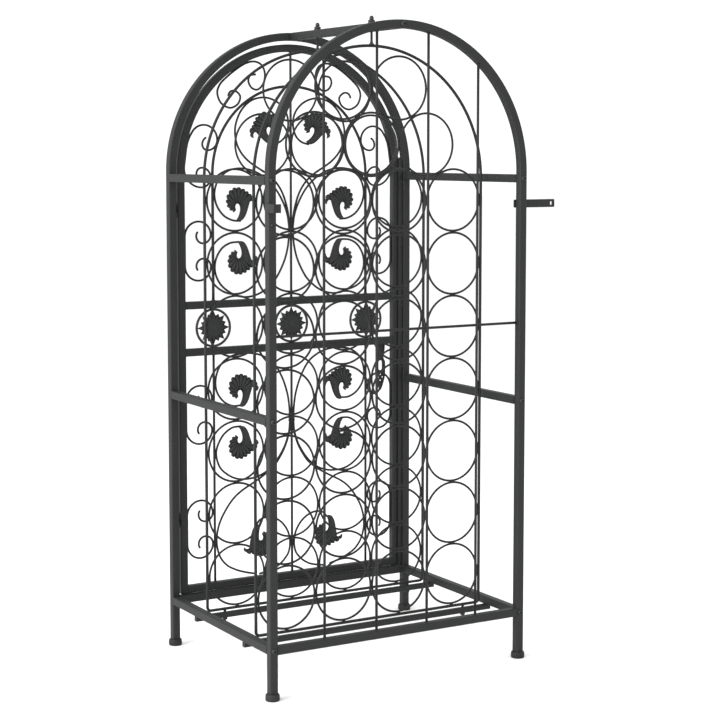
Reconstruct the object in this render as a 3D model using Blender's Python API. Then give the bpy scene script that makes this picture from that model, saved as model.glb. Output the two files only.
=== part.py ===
"""Arched wrought-iron wine rack with a decorative hinged door.

Metres, +Z up, the door faces -Y and opens about a vertical axis on the +X side.
Each piece is one closed solid; pieces that touch on the real rack stand GAP apart.
"""
import math

import bmesh
import bpy
from mathutils import Matrix

# ---------------------------------------------------------------- driving sizes
PITCH = 0.0994           # bottle ring spacing, and the outside size of a ring
COLUMNS = 4
ROWS = 7
DEPTH = 0.339            # post centre to post centre, front to rear
TUBE = 0.0127            # half-inch square tube of the two arch frames and rails
TUBE_CORNER = 0.0020     # corner flat of the square tubes
GAP = 0.0003             # clearance left between pieces that touch

RAIL_Z_LOW = 0.0738      # centre height of the low side rails
RAIL_MID_SHARE = 0.4925  # middle rails, as a share of the way to the top rails
RAIL_DROP = 0.0097       # top rails, below the arch centres

CAP_R = 0.01075          # foot caps
CAP_H = 0.0105

RING_WIRE = 0.0030
PANEL_SHARE = 0.4944     # the ring panels stand at this share of the half depth
PANEL_WIRE = 0.0040
PANEL_LIFT = 0.00275     # panel's bottom wire, above the underside of the low rails
SIDE_CLEAR = 0.00855     # between a panel's outline wire and the posts
CROWN_CLEAR = 0.0011     # between the top pair of rings and the outline wire
STUD_FREE = 0.01865      # length of a hanging stud seen under the ridge bar

BAR = 0.0085             # square cross bars under the panels
BAR_OVER = 0.0036        # how far a cross bar reaches past the post centres

GUARD_WIRE = 0.0038      # upright wires and rod across the rear frame
GUARD_SHARE = 0.2041     # spacing of the uprights, as a share of the width
GUARD_ROD_Z = 0.5310
GUARD_INSET = 0.0021     # wire centre, in from the rear face of the tubes

DOOR_TUBE = 0.0122
DOOR_GAP = 0.0056        # between the door's tube and the front frame's tube
DOOR_FORWARD = 0.0060    # door centre plane, in front of the frame's centre plane
DOOR_FOOT_GAP = 0.0010   # under the door
BAR_Z_UP = 0.5492        # door cross bars
BAR_Z_LOW = 0.4734
DOOR_WIRE = 0.0040
INNER_SHARE = 0.7377     # legs of the door's inner arched wire, as a share of its half width
INNER_DROP = 0.0045      # centre of that wire's arch, below the arch centres

SUN_T = 0.0020           # sun rosettes
SUN_POINTS = 16

HINGE_Z = (0.2000, 0.7000)
HINGE_R = 0.0024
HINGE_H = 0.0120
PIN_R = 0.00133
PIN_CLEAR = 0.00007      # corner to corner, between hinge pin and its eye
PIN_H = 0.0100

HASP_W = 0.0200          # swivel hasp
HASP_REACH = 0.0020      # slot when turned across, past the post centre
HASP_T = 0.0015
HASP_TOP = 0.0100        # plate above its pivot
HASP_LEN = 0.0870        # pivot to the pointed end
HASP_SLOT = 0.0435       # pivot to the middle of the slot
SLOT_W = 0.0070
SLOT_L = 0.0170
SCREW_R = 0.0020
SCREW_CLEAR = 0.00007

STUD_R = 0.0020          # hanging studs of the panels
STUD_HOLE = 0.0004       # radial clearance in the ridge bar
NUT_R = 0.0052
NUT_H = 0.0048
BALL_R = 0.0033

BRACKET_DROP = 0.0388    # wall brackets, below the top rails
BRACKET_W = 0.0125
BRACKET_T = 0.0015
STRIP_IN = 0.0090        # strip end, inboard of the post centre
STRIP_OUT = 0.0685       # strip end, outboard of the post centre
STRIP_HOLE = 0.0025
ANGLE_START = -0.0020    # L bracket, measured from the post centre towards the wall
ANGLE_END = 0.0250
ANGLE_FLANGE = 0.0122

# ---------------------------------------------------------------- derived sizes
HALF_D = DEPTH / 2
HALF_T = TUBE / 2
HALF_W = COLUMNS * PITCH / 2 + GAP + PANEL_WIRE + SIDE_CLEAR + HALF_T
WIDTH = 2 * HALF_W
PANEL_Y = HALF_D * PANEL_SHARE
PANEL_Z = RAIL_Z_LOW - HALF_T + PANEL_LIFT + PANEL_WIRE / 2
LEG_X = COLUMNS * PITCH / 2 + GAP + PANEL_WIRE / 2
RING_Z0 = PANEL_Z + PANEL_WIRE / 2 + GAP + PITCH / 2
CROWN_RISE = PITCH * math.sin(math.radians(60))
CROWN_Z1 = RING_Z0 + (ROWS - 1) * PITCH + CROWN_RISE + GAP / math.sin(math.radians(60))
CROWN_Z2 = CROWN_Z1 + CROWN_RISE
CROWN_FAR = LEG_X - PANEL_WIRE / 2 - PITCH / 2 - CROWN_CLEAR
PANEL_ARCH_Z = CROWN_Z2 - math.sqrt(CROWN_FAR ** 2 - (PITCH / 2) ** 2)
PANEL_TOP = PANEL_ARCH_Z + LEG_X
RIDGE_Z = PANEL_TOP + PANEL_WIRE / 2 + STUD_FREE + HALF_T
ARCH_Z = RIDGE_Z - HALF_W
RAIL_Z_TOP = ARCH_Z - RAIL_DROP
RAIL_Z_MID = RAIL_Z_LOW + RAIL_MID_SHARE * (RAIL_Z_TOP - RAIL_Z_LOW)
BRACKET_Z = RAIL_Z_TOP - BRACKET_DROP
GUARD_STEP = WIDTH * GUARD_SHARE
HASP_X = -HALF_W - HASP_REACH + HASP_SLOT
FRAME_IN = HALF_W - HALF_T
DOOR_Y = -HALF_D - DOOR_FORWARD
DOOR_R = FRAME_IN - DOOR_GAP - DOOR_TUBE / 2
DOOR_IN = DOOR_R - DOOR_TUBE / 2
DOOR_FOOT = RAIL_Z_LOW + HALF_T + DOOR_FOOT_GAP
DOOR_RAIL_Z = DOOR_FOOT + DOOR_TUBE / 2
DOOR_FRONT = DOOR_Y - DOOR_TUBE / 2
INNER_X = DOOR_IN * INNER_SHARE
INNER_ARCH_Z = ARCH_Z - INNER_DROP
HINGE_X = DOOR_R + DOOR_TUBE / 2 + GAP + HINGE_R
HINGE_Y = -HALF_D - HALF_T - 0.0031
SUN_R = (BAR_Z_UP - BAR_Z_LOW - DOOR_TUBE) / 2 - GAP


# ---------------------------------------------------------------- helpers
def clear_scene():
    for obj in list(bpy.data.objects):
        bpy.data.objects.remove(obj, do_unlink=True)


def paint(name, colour, rough, metal):
    mat = bpy.data.materials.new(name)
    mat.use_nodes = True
    shader = mat.node_tree.nodes["Principled BSDF"]
    shader.inputs["Base Color"].default_value = (*colour, 1.0)
    shader.inputs["Roughness"].default_value = rough
    shader.inputs["Metallic"].default_value = metal
    return mat


clear_scene()
COAT = paint("black_powder_coat", (0.045, 0.046, 0.047), 0.55, 0.0)
PLASTIC = paint("black_plastic", (0.030, 0.030, 0.032), 0.60, 0.0)
STEEL = paint("blackened_steel", (0.080, 0.080, 0.082), 0.40, 0.6)


def finish(name, bm, mat):
    bmesh.ops.recalc_face_normals(bm, faces=bm.faces[:])
    mesh = bpy.data.meshes.new(name)
    bm.to_mesh(mesh)
    bm.free()
    mesh.materials.append(mat)
    mesh.shade_smooth()
    mesh.set_sharp_from_angle(angle=math.radians(40))
    obj = bpy.data.objects.new(name, mesh)
    bpy.context.scene.collection.objects.link(obj)
    return obj


def square_section(size, corner):
    h = size / 2
    c = h - corner
    return [(h, -c), (h, c), (c, h), (-c, h), (-h, c), (-h, -c), (-c, -h), (c, -h)]


def round_section(size, sides):
    r = size / 2
    step = 2 * math.pi / sides
    return [(r * math.cos(step * (i + 0.5)), r * math.sin(step * (i + 0.5))) for i in range(sides)]


def arc(cx, cz, r, a0, a1, count):
    out = []
    for i in range(count + 1):
        a = math.radians(a0 + (a1 - a0) * i / count)
        out.append((cx + r * math.cos(a), cz + r * math.sin(a)))
    return out


def sweep(name, path, y, section, mat, closed=False):
    """Carry a section along a path in an upright plane at depth y."""
    bm = bmesh.new()
    n = len(path)
    rings = []
    for i, (x, z) in enumerate(path):
        before = path[i - 1] if (closed or i > 0) else None
        after = path[(i + 1) % n] if (closed or i < n - 1) else None
        dirs = []
        if before is not None:
            dirs.append((x - before[0], z - before[1]))
        if after is not None:
            dirs.append((after[0] - x, after[1] - z))
        units = [(dx / math.hypot(dx, dz), dz / math.hypot(dx, dz)) for dx, dz in dirs]
        tx = sum(u[0] for u in units)
        tz = sum(u[1] for u in units)
        length = math.hypot(tx, tz)
        tx, tz = tx / length, tz / length
        stretch = 1.0 / (tx * units[0][0] + tz * units[0][1])
        nx, nz = tz, -tx
        rings.append([bm.verts.new((x + nx * a * stretch, y + b, z + nz * a * stretch))
                      for a, b in section])
    m = len(section)
    for i in range(n if closed else n - 1):
        r0 = rings[i]
        r1 = rings[(i + 1) % n]
        for k in range(m):
            bm.faces.new((r0[k], r0[(k + 1) % m], r1[(k + 1) % m], r1[k]))
    if not closed:
        bm.faces.new(rings[0])
        bm.faces.new(rings[-1])
    return finish(name, bm, mat)


def prism(name, outline, axis, lo, hi, mat):
    """Extrude an outline along an axis; the outline is given in the two other axes."""
    place = {"x": lambda a, b, t: (t, a, b), "y": lambda a, b, t: (a, t, b),
             "z": lambda a, b, t: (a, b, t)}[axis]
    bm = bmesh.new()
    low = [bm.verts.new(place(a, b, lo)) for a, b in outline]
    top = [bm.verts.new(place(a, b, hi)) for a, b in outline]
    n = len(outline)
    bm.faces.new(low)
    bm.faces.new(top)
    for i in range(n):
        j = (i + 1) % n
        bm.faces.new((low[i], low[j], top[j], top[i]))
    return finish(name, bm, mat)


def bar(name, axis, lo, hi, a, b, size, corner, mat):
    outline = [(a + p, b + q) for p, q in square_section(size, corner)]
    return prism(name, outline, axis, lo, hi, mat)


def rod(name, axis, lo, hi, a, b, size, mat, sides=8):
    outline = [(a + p, b + q) for p, q in round_section(size, sides)]
    return prism(name, outline, axis, lo, hi, mat)


def plate(name, loops, y0, y1, mat):
    """Flat plate in an upright plane: the first loop is its edge, the others are holes."""
    bm = bmesh.new()
    edges = []
    for loop in loops:
        verts = [bm.verts.new((x, y0, z)) for x, z in loop]
        for i in range(len(verts)):
            edges.append(bm.edges.new((verts[i - 1], verts[i])))
    filled = bmesh.ops.triangle_fill(bm, use_beauty=True, use_dissolve=False, edges=edges)
    faces = [f for f in filled["geom"] if isinstance(f, bmesh.types.BMFace)]
    grown = bmesh.ops.extrude_face_region(bm, geom=faces, use_keep_orig=True)
    moved = [v for v in grown["geom"] if isinstance(v, bmesh.types.BMVert)]
    bmesh.ops.translate(bm, verts=moved, vec=(0.0, y1 - y0, 0.0))
    return finish(name, bm, mat)


def lathe(name, profile, place, sides, mat):
    """Turn a profile of (radius, height) pairs; place maps two turned axes and a height."""
    bm = bmesh.new()
    rows = []
    for r, h in profile:
        if r == 0.0:
            rows.append([bm.verts.new(place(0.0, 0.0, h))])
            continue
        step = 2 * math.pi / sides
        rows.append([bm.verts.new(place(r * math.cos(step * i), r * math.sin(step * i), h))
                     for i in range(sides)])
    for low, top in zip(rows, rows[1:]):
        for i in range(sides):
            j = (i + 1) % sides
            if len(low) == 1:
                bm.faces.new((low[0], top[i], top[j]))
            elif len(top) == 1:
                bm.faces.new((low[i], low[j], top[0]))
            else:
                bm.faces.new((low[i], low[j], top[j], top[i]))
    return finish(name, bm, mat)


# ---------------------------------------------------------------- the two arch frames
def arch_frame(side, y):
    path = [(HALF_W, CAP_H + GAP)]
    path += arc(0.0, ARCH_Z, HALF_W, 0.0, 180.0, 20)
    path += [(-HALF_W, CAP_H + GAP)]
    sweep(side + "_arch_tube", path, y, square_section(TUBE, TUBE_CORNER), COAT)
    bar(side + "_bottom_rail", "x", -FRAME_IN + GAP, FRAME_IN - GAP, y, RAIL_Z_LOW,
        TUBE, TUBE_CORNER, COAT)
    for label, x in (("left", HALF_W), ("right", -HALF_W)):
        profile = [(0.0, 0.0), (CAP_R * 0.9, 0.0), (CAP_R, CAP_R * 0.15),
                   (CAP_R, CAP_H * 0.75), (CAP_R * 0.85, CAP_H), (0.0, CAP_H)]
        lathe(f"foot_cap_{side}_{label}", profile,
              lambda a, b, h, cx=x: (cx + a, y + b, h), 12, PLASTIC)


arch_frame("front", -HALF_D)
arch_frame("rear", HALF_D)

# ---------------------------------------------------------------- rails that join them
RAIL_END = HALF_D - HALF_T - GAP
for label, x in (("left", HALF_W), ("right", -HALF_W)):
    for level, z in (("low", RAIL_Z_LOW), ("mid", RAIL_Z_MID), ("top", RAIL_Z_TOP)):
        bar(f"side_rail_{level}_{label}", "y", -RAIL_END, RAIL_END, x, z,
            TUBE, TUBE_CORNER, COAT)


def ridge_bar():
    """Bar between the arch tops, with an upright hole for each panel's stud."""
    h = HALF_T
    c = h - TUBE_CORNER
    hole = STUD_R + STUD_HOLE
    bm = bmesh.new()
    step = math.pi / 4
    ring = [(hole * math.cos(step * (i + 0.5)), hole * math.sin(step * (i + 0.5)))
            for i in range(8)]
    # top and bottom faces are strips along Y, pierced at each stud
    cells = [(-RAIL_END, -PANEL_Y - c), (-PANEL_Y - c, -PANEL_Y + c), (-PANEL_Y + c, PANEL_Y - c),
             (PANEL_Y - c, PANEL_Y + c), (PANEL_Y + c, RAIL_END)]

    def vert(x, y, z):
        return bm.verts.new((x, y, z))

    walls = {}
    for index, (y0, y1) in enumerate(cells):
        centre = (y0 + y1) / 2
        for z in (RIDGE_Z - h, RIDGE_Z + h):
            if index in (1, 3):
                square = [(c, y1), (c, y0), (-c, y0), (-c, y1)]
                inner = [vert(a, centre + b, z) for a, b in ring]
                walls[(index, z)] = inner
                outer = [vert(x, y, z) for x, y in square]
                # ring points 0..7 run from +X through +Y; outer corners start at (+X, +Y)
                corners = [outer[0], outer[3], outer[2], outer[1]]
                for q in range(4):
                    a = corners[q]
                    b = corners[(q + 1) % 4]
                    i0 = inner[(2 * q) % 8]
                    i1 = inner[(2 * q + 1) % 8]
                    i2 = inner[(2 * q + 2) % 8]
                    bm.faces.new((a, i0, i1))
                    bm.faces.new((a, i1, i2, b))
            else:
                bm.faces.new([vert(c, y0, z), vert(c, y1, z), vert(-c, y1, z), vert(-c, y0, z)])
        for sx in (-1, 1):
            x = sx * h
            bm.faces.new([vert(x, y0, RIDGE_Z - c), vert(x, y1, RIDGE_Z - c),
                          vert(x, y1, RIDGE_Z + c), vert(x, y0, RIDGE_Z + c)])
            for sz in (-1, 1):
                bm.faces.new([vert(x, y0, RIDGE_Z + sz * c), vert(x, y1, RIDGE_Z + sz * c),
                              vert(sx * c, y1, RIDGE_Z + sz * h), vert(sx * c, y0, RIDGE_Z + sz * h)])
    for index in (1, 3):
        low = walls[(index, RIDGE_Z - h)]
        top = walls[(index, RIDGE_Z + h)]
        for i in range(8):
            j = (i + 1) % 8
            bm.faces.new((low[i], low[j], top[j], top[i]))
    for y in (-RAIL_END, RAIL_END):
        bm.faces.new([vert(p, y, RIDGE_Z + q) for p, q in square_section(TUBE, TUBE_CORNER)])
    bmesh.ops.remove_doubles(bm, verts=bm.verts[:], dist=1e-6)
    return finish("ridge_bar", bm, COAT)


ridge_bar()

# ---------------------------------------------------------------- rear guard wires
GUARD_Y = HALF_D + HALF_T - GUARD_INSET
GUARD_LOW = RAIL_Z_LOW + HALF_T + GAP
for i in range(4):
    x = (1.5 - i) * GUARD_STEP
    reach = abs(x) + GUARD_WIRE / 2
    top = ARCH_Z + math.sqrt((FRAME_IN - 0.0006) ** 2 - reach ** 2) - GAP
    rod(f"rear_guard_wire_{i + 1}", "z", GUARD_LOW, top, x, GUARD_Y, GUARD_WIRE, COAT)
rod("rear_guard_rod", "x", -FRAME_IN + GAP, FRAME_IN - GAP, GUARD_Y - GUARD_WIRE - GAP,
    GUARD_ROD_Z, GUARD_WIRE, COAT)

# ---------------------------------------------------------------- bottle ring panels
SIDES = 12


def joined(centres, cx, cz, k):
    """True if another ring of the group stands against flat k of this one."""
    a = math.radians(360.0 / SIDES * k)
    nx = cx + PITCH * math.cos(a)
    nz = cz + PITCH * math.sin(a)
    return any(abs(px - nx) < 1e-4 and abs(pz - nz) < 1e-4 for px, pz in centres)


def ring_group(name, centres, y, squeeze, crown=False):
    """Rings of square wire joined flat to flat; squeeze narrows them for the side gap."""
    outer_r = PITCH / 2 / math.cos(math.pi / SIDES)
    inner_r = (PITCH / 2 - RING_WIRE) / math.cos(math.pi / SIDES)
    bm = bmesh.new()
    half = RING_WIRE / 2
    for cx, cz in centres:
        met = [joined(centres, cx, cz, k) for k in range(SIDES)]
        loops = []
        for r in (outer_r, inner_r):
            for dy in (-half, half):
                loop = []
                for k in range(SIDES):
                    a = math.radians(360.0 / SIDES * (k - 0.5))
                    # free upper corners of the crown rings lie on the true circle
                    free = crown and math.sin(a) > 0.2 and not (met[k] or met[k - 1])
                    pull = math.cos(math.pi / SIDES) if free else 1.0
                    loop.append(bm.verts.new((cx + r * pull * math.cos(a) * squeeze, y + dy,
                                              cz + r * pull * math.sin(a))))
                loops.append(loop)
        of, ob, nf, nb = loops
        for k in range(SIDES):
            j = (k + 1) % SIDES
            bm.faces.new((of[k], of[j], nf[j], nf[k]))
            bm.faces.new((ob[k], ob[j], nb[j], nb[k]))
            bm.faces.new((nf[k], nf[j], nb[j], nb[k]))
            if not met[k]:
                bm.faces.new((of[k], of[j], ob[j], ob[k]))
    bmesh.ops.remove_doubles(bm, verts=bm.verts[:], dist=1e-6)
    return finish(name, bm, COAT)


def panel(side, y):
    squeeze = 1.0 - GAP / PITCH
    for c in range(COLUMNS):
        x = ((COLUMNS - 1) / 2 - c) * PITCH
        ring_group(f"{side}_ring_column_{c + 1}", [(x, RING_Z0 + r * PITCH) for r in range(ROWS)],
                   y, squeeze)
    crown = [(PITCH, CROWN_Z1), (0.0, CROWN_Z1), (-PITCH, CROWN_Z1),
             (PITCH / 2, CROWN_Z2), (-PITCH / 2, CROWN_Z2)]
    ring_group(f"{side}_crown_rings", crown, y, 1.0, crown=True)
    cut = 0.004
    path = [(-LEG_X + cut, PANEL_Z), (LEG_X - cut, PANEL_Z), (LEG_X, PANEL_Z + cut)]
    path += arc(0.0, PANEL_ARCH_Z, LEG_X, 0.0, 180.0, 18)
    path += [(-LEG_X, PANEL_Z + cut)]
    sweep(f"{side}_panel_wire", path, y, round_section(PANEL_WIRE, 6), COAT, closed=True)
    bar(f"{side}_cross_bar", "x", -HALF_W - BAR_OVER, HALF_W + BAR_OVER, y,
        RAIL_Z_LOW - HALF_T - GAP - BAR / 2, BAR, 0.0008, COAT)
    foot = PANEL_TOP + PANEL_WIRE / 2 + GAP
    seat = RIDGE_Z + HALF_T + GAP
    profile = [(0.0, foot), (STUD_R, foot), (STUD_R, seat), (NUT_R, seat),
               (NUT_R, seat + NUT_H), (BALL_R, seat + NUT_H + 0.0010),
               (BALL_R, seat + NUT_H + 0.0040), (BALL_R * 0.6, seat + NUT_H + 0.0060),
               (0.0, seat + NUT_H + 0.0064)]
    lathe(f"{side}_hanging_stud", profile, lambda a, b, h: (a, y + b, h), 8, STEEL)


panel("front", -PANEL_Y)
panel("rear", PANEL_Y)


# ---------------------------------------------------------------- wall brackets
def circle(cx, cz, r, sides):
    return [(cx + r * math.cos(2 * math.pi * i / sides), cz + r * math.sin(2 * math.pi * i / sides))
            for i in range(sides)]


def wall_brackets():
    y1 = HALF_D - HALF_T - GAP
    x0 = -HALF_W + STRIP_IN
    x1 = -HALF_W - STRIP_OUT
    z0 = BRACKET_Z - BRACKET_W / 2
    z1 = BRACKET_Z + BRACKET_W / 2
    edge = [(x0, z0), (x1, z0), (x1, z1), (x0, z1)]
    hole = circle(x1 + 0.0058, BRACKET_Z, STRIP_HOLE, 10)
    plate("wall_bracket_right", [edge, hole], y1 - BRACKET_T, y1, COAT)
    xa = HALF_W + HALF_T + GAP
    xb = xa + BRACKET_T
    ya = HALF_D + ANGLE_START
    yb = HALF_D + ANGLE_END
    outline = [(xa, ya), (xb, ya), (xb, yb), (xb - ANGLE_FLANGE, yb),
               (xb - ANGLE_FLANGE, yb - BRACKET_T), (xa, yb - BRACKET_T)]
    prism("wall_bracket_left", outline, "z", z0, z1, COAT)


wall_brackets()

# ---------------------------------------------------------------- the door
PATH = [(DOOR_R, DOOR_FOOT)]
PATH += arc(0.0, ARCH_Z, DOOR_R, 0.0, 180.0, 20)
PATH += [(-DOOR_R, DOOR_FOOT)]
sweep("door_arch_tube", PATH, DOOR_Y, square_section(DOOR_TUBE, TUBE_CORNER), COAT)
for label, z in (("door_bottom_rail", DOOR_RAIL_Z), ("door_bar_lower", BAR_Z_LOW),
                 ("door_bar_upper", BAR_Z_UP)):
    bar(label, "x", -DOOR_IN + GAP, DOOR_IN - GAP, DOOR_Y, z, DOOR_TUBE, TUBE_CORNER, COAT)

BAR_TOP = BAR_Z_UP + DOOR_TUBE / 2 + GAP
BAR_UNDER = BAR_Z_LOW - DOOR_TUBE / 2 - GAP
RAIL_ABOVE = DOOR_RAIL_Z + DOOR_TUBE / 2 + GAP
INNER_TOP = INNER_ARCH_Z + INNER_X
ARCH = [(INNER_X, BAR_TOP)]
ARCH += arc(0.0, INNER_ARCH_Z, INNER_X, 0.0, 180.0, 16)
ARCH += [(-INNER_X, BAR_TOP)]
sweep("door_inner_arch_wire", ARCH, DOOR_Y, round_section(DOOR_WIRE, 6), COAT)
for label, x in (("left", INNER_X), ("right", -INNER_X)):
    rod(f"door_inner_leg_{label}", "z", RAIL_ABOVE, BAR_UNDER, x, DOOR_Y, DOOR_WIRE, COAT, 6)
rod("door_centre_wire_lower", "z", RAIL_ABOVE, BAR_UNDER, 0.0, DOOR_Y, DOOR_WIRE, COAT, 6)
rod("door_centre_wire_mid", "z", BAR_TOP, INNER_TOP - DOOR_WIRE / 2 - GAP, 0.0, DOOR_Y,
    DOOR_WIRE, COAT, 6)
rod("door_centre_wire_top", "z", INNER_TOP + DOOR_WIRE / 2 + GAP,
    ARCH_Z + DOOR_IN - GAP - 0.0002, 0.0, DOOR_Y, DOOR_WIRE, COAT, 6)


def sun(name, cx):
    """Sixteen-point sun inside a ring, joined to it by the four long points."""
    cz = (BAR_Z_UP + BAR_Z_LOW) / 2
    ring_in = SUN_R - 0.0022
    valley = SUN_R * 0.60
    short = SUN_R * 0.76
    loops = [circle(cx, cz, SUN_R, 24)]
    tip = math.degrees(0.0009 / ring_in)
    for q in range(4):
        a0 = 90.0 * q
        loop = arc(cx, cz, ring_in, a0 + tip, a0 + 90.0 - tip, 6)
        points = []
        count = SUN_POINTS // 4
        for k in range(1, 2 * count):
            a = math.radians(a0 + 90.0 - 90.0 * k / (2 * count))
            r = valley if k % 2 else short
            points.append((cx + r * math.cos(a), cz + r * math.sin(a)))
        loops.append(loop + points)
    plate(name, loops, DOOR_Y - SUN_T / 2, DOOR_Y + SUN_T / 2, COAT)


sun("sun_rosette_left", INNER_X)
sun("sun_rosette_centre", 0.0)
sun("sun_rosette_right", -INNER_X)


# ---------------------------------------------------------------- door hinges
def hinge(label, z):
    """Door-side barrel with a pin that drops into an eye on the post."""
    place = lambda a, b, h: (HINGE_X + a, HINGE_Y + b, h)
    profile = [(0.0, z - PIN_H), (PIN_R, z - PIN_H), (PIN_R, z), (HINGE_R, z),
               (HINGE_R, z + HINGE_H), (0.0, z + HINGE_H)]
    lathe(f"hinge_barrel_{label}", profile, place, 16, STEEL)
    top = z - GAP
    low = top - PIN_H + 0.0015
    bore = PIN_R + PIN_CLEAR
    right = FRAME_IN - GAP - HINGE_X
    back = 0.0110
    outer = []
    for i in range(16):
        a = 2 * math.pi * i / 16
        if i == 3:
            outer.append((right, back))
        elif i == 5:
            outer.append((-0.0009, back))
        elif i == 4:
            outer.append(((right - 0.0009) / 2, back))
        elif i == 2:
            outer.append((right, 0.0030))
        elif i == 6:
            outer.append((-0.0009, HINGE_R * 0.925))
        else:
            outer.append((HINGE_R * math.cos(a), HINGE_R * math.sin(a)))
    bm = bmesh.new()
    rows = []
    for pts in (outer, [(bore * math.cos(2 * math.pi * i / 16), bore * math.sin(2 * math.pi * i / 16))
                        for i in range(16)]):
        for h in (low, top):
            rows.append([bm.verts.new(place(a, b, h)) for a, b in pts])
    o0, o1, i0, i1 = rows
    for k in range(16):
        j = (k + 1) % 16
        bm.faces.new((o0[k], o0[j], o1[j], o1[k]))
        bm.faces.new((i0[k], i0[j], i1[j], i1[k]))
        bm.faces.new((o0[k], o0[j], i0[j], i0[k]))
        bm.faces.new((o1[k], o1[j], i1[j], i1[k]))
    finish(f"hinge_eye_{label}", bm, STEEL)


hinge("lower", HINGE_Z[0])
hinge("upper", HINGE_Z[1])


# ---------------------------------------------------------------- swivel hasp and its staple
def hasp():
    pz = BAR_Z_LOW
    half = HASP_W / 2
    edge = [(HASP_X + x, pz + z) for x, z in
            [(-half, -0.012), (-half, 0.002), (-half * 0.75, 0.0075), (-half * 0.3, HASP_TOP),
             (half * 0.3, HASP_TOP), (half * 0.75, 0.0075), (half, 0.002), (half, -0.012),
             (half * 0.8, -0.020), (half, -0.028), (half, -0.062), (half * 0.7, -0.071),
             (half * 0.55, -0.078), (0.0, -HASP_LEN), (-half * 0.55, -0.078),
             (-half * 0.7, -0.071), (-half, -0.062), (-half, -0.028), (-half * 0.8, -0.020)]]
    bore = [(HASP_X + x, pz + z) for x, z in
            round_section(2 * (SCREW_R + SCREW_CLEAR), 12)]
    w = SLOT_W / 2
    s = SLOT_L / 2
    slot = [(HASP_X + x, pz - HASP_SLOT + z) for x, z in
            [(w, -s + w), (w, s - w), (w * 0.7, s - w * 0.3), (0.0, s), (-w * 0.7, s - w * 0.3),
             (-w, s - w), (-w, -s + w), (-w * 0.7, -s + w * 0.3), (0.0, -s),
             (w * 0.7, -s + w * 0.3)]]
    back = DOOR_FRONT - GAP
    plate("hasp_plate", [edge, bore, slot], back - HASP_T, back, STEEL)
    seat = back - HASP_T - GAP
    step = 2 * math.pi / 12
    profile = [(0.0, -back), (SCREW_R, -back), (SCREW_R, -seat), (0.0045, -seat),
               (0.0040, -seat + 0.0014), (0.0020, -seat + 0.0022), (0.0, -seat + 0.0024)]
    bm = bmesh.new()
    rows = []
    for r, h in profile:
        if r == 0.0:
            rows.append([bm.verts.new((HASP_X, -h, pz))])
        else:
            rows.append([bm.verts.new((HASP_X + r * math.cos(step * (i + 0.5)), -h,
                                       pz + r * math.sin(step * (i + 0.5)))) for i in range(12)])
    for low, top in zip(rows, rows[1:]):
        for i in range(12):
            j = (i + 1) % 12
            if len(low) == 1:
                bm.faces.new((low[0], top[i], top[j]))
            elif len(top) == 1:
                bm.faces.new((low[i], low[j], top[0]))
            else:
                bm.faces.new((low[i], low[j], top[j], top[i]))
    finish("hasp_screw", bm, STEEL)


hasp()


def staple():
    """Square staple standing out of the front post, long way across."""
    y1 = -HALF_D - HALF_T - GAP
    wire = 0.0026
    half = 0.0062
    reach = DOOR_FRONT - 0.0075
    x = HASP_X - HASP_SLOT
    outer = [(x + half, y1), (x + half, reach + 0.002), (x + half - 0.002, reach),
             (x - half + 0.002, reach), (x - half, reach + 0.002), (x - half, y1)]
    inner = [(x - half + wire, y1), (x - half + wire, reach + wire),
             (x + half - wire, reach + wire), (x + half - wire, y1)]
    prism("hasp_staple", outer + inner, "z", BAR_Z_LOW - wire / 2, BAR_Z_LOW + wire / 2, STEEL)


staple()


# ---------------------------------------------------------------- what turns with what
def pivot(name, at, nodes, parent=None):
    """Empty on a joint's axis that carries the pieces turning about it."""
    empty = bpy.data.objects.new(name, None)
    bpy.context.scene.collection.objects.link(empty)
    empty.empty_display_size = 0.03
    empty.location = at
    if parent is not None:
        empty.parent = parent
        empty.location = [a - b for a, b in zip(at, parent.location)]
    for node in nodes:
        obj = bpy.data.objects[node]
        obj.parent = empty
        obj.matrix_parent_inverse = Matrix.Translation([-c for c in at])
    return empty


DOOR_NODES = [obj.name for obj in bpy.data.objects
              if obj.name.startswith(("door_", "sun_", "hinge_barrel", "hasp_screw"))]
DOOR_PIVOT = pivot("door_pivot", (HINGE_X, HINGE_Y, 0.0), DOOR_NODES)
pivot("hasp_pivot", (HASP_X, DOOR_FRONT, BAR_Z_LOW), ["hasp_plate"], DOOR_PIVOT)
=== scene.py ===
# %% [markdown]
# This file dresses an arched wrought-iron wine rack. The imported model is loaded
# first, as a fixed frame: it says where every bar, wire and hinge is, and which
# of them turn together. Everything modelled below takes its place from it.

# %% Load the frame
import math

import bmesh
import bpy
from mathutils import Matrix, Vector


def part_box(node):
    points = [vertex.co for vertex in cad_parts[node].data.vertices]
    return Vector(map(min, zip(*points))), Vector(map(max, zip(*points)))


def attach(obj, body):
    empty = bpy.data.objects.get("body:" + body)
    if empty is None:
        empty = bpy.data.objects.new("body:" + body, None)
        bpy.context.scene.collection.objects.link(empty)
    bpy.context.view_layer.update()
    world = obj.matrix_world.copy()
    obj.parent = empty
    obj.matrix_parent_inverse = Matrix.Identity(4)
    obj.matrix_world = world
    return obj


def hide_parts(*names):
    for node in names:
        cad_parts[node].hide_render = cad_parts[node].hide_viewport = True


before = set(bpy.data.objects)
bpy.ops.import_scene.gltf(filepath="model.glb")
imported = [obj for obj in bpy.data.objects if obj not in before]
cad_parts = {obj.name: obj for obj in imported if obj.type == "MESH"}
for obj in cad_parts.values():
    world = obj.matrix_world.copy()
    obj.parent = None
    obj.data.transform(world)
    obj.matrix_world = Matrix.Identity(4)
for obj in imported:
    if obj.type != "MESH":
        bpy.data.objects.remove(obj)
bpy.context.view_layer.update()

# %% [markdown]
# The rack is made of half-inch square tube. Its main sizes are read back from the
# frame instead of being typed again, so the looks can't drift away from the
# solids. A box gives the lowest and highest corner of a node.

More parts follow.
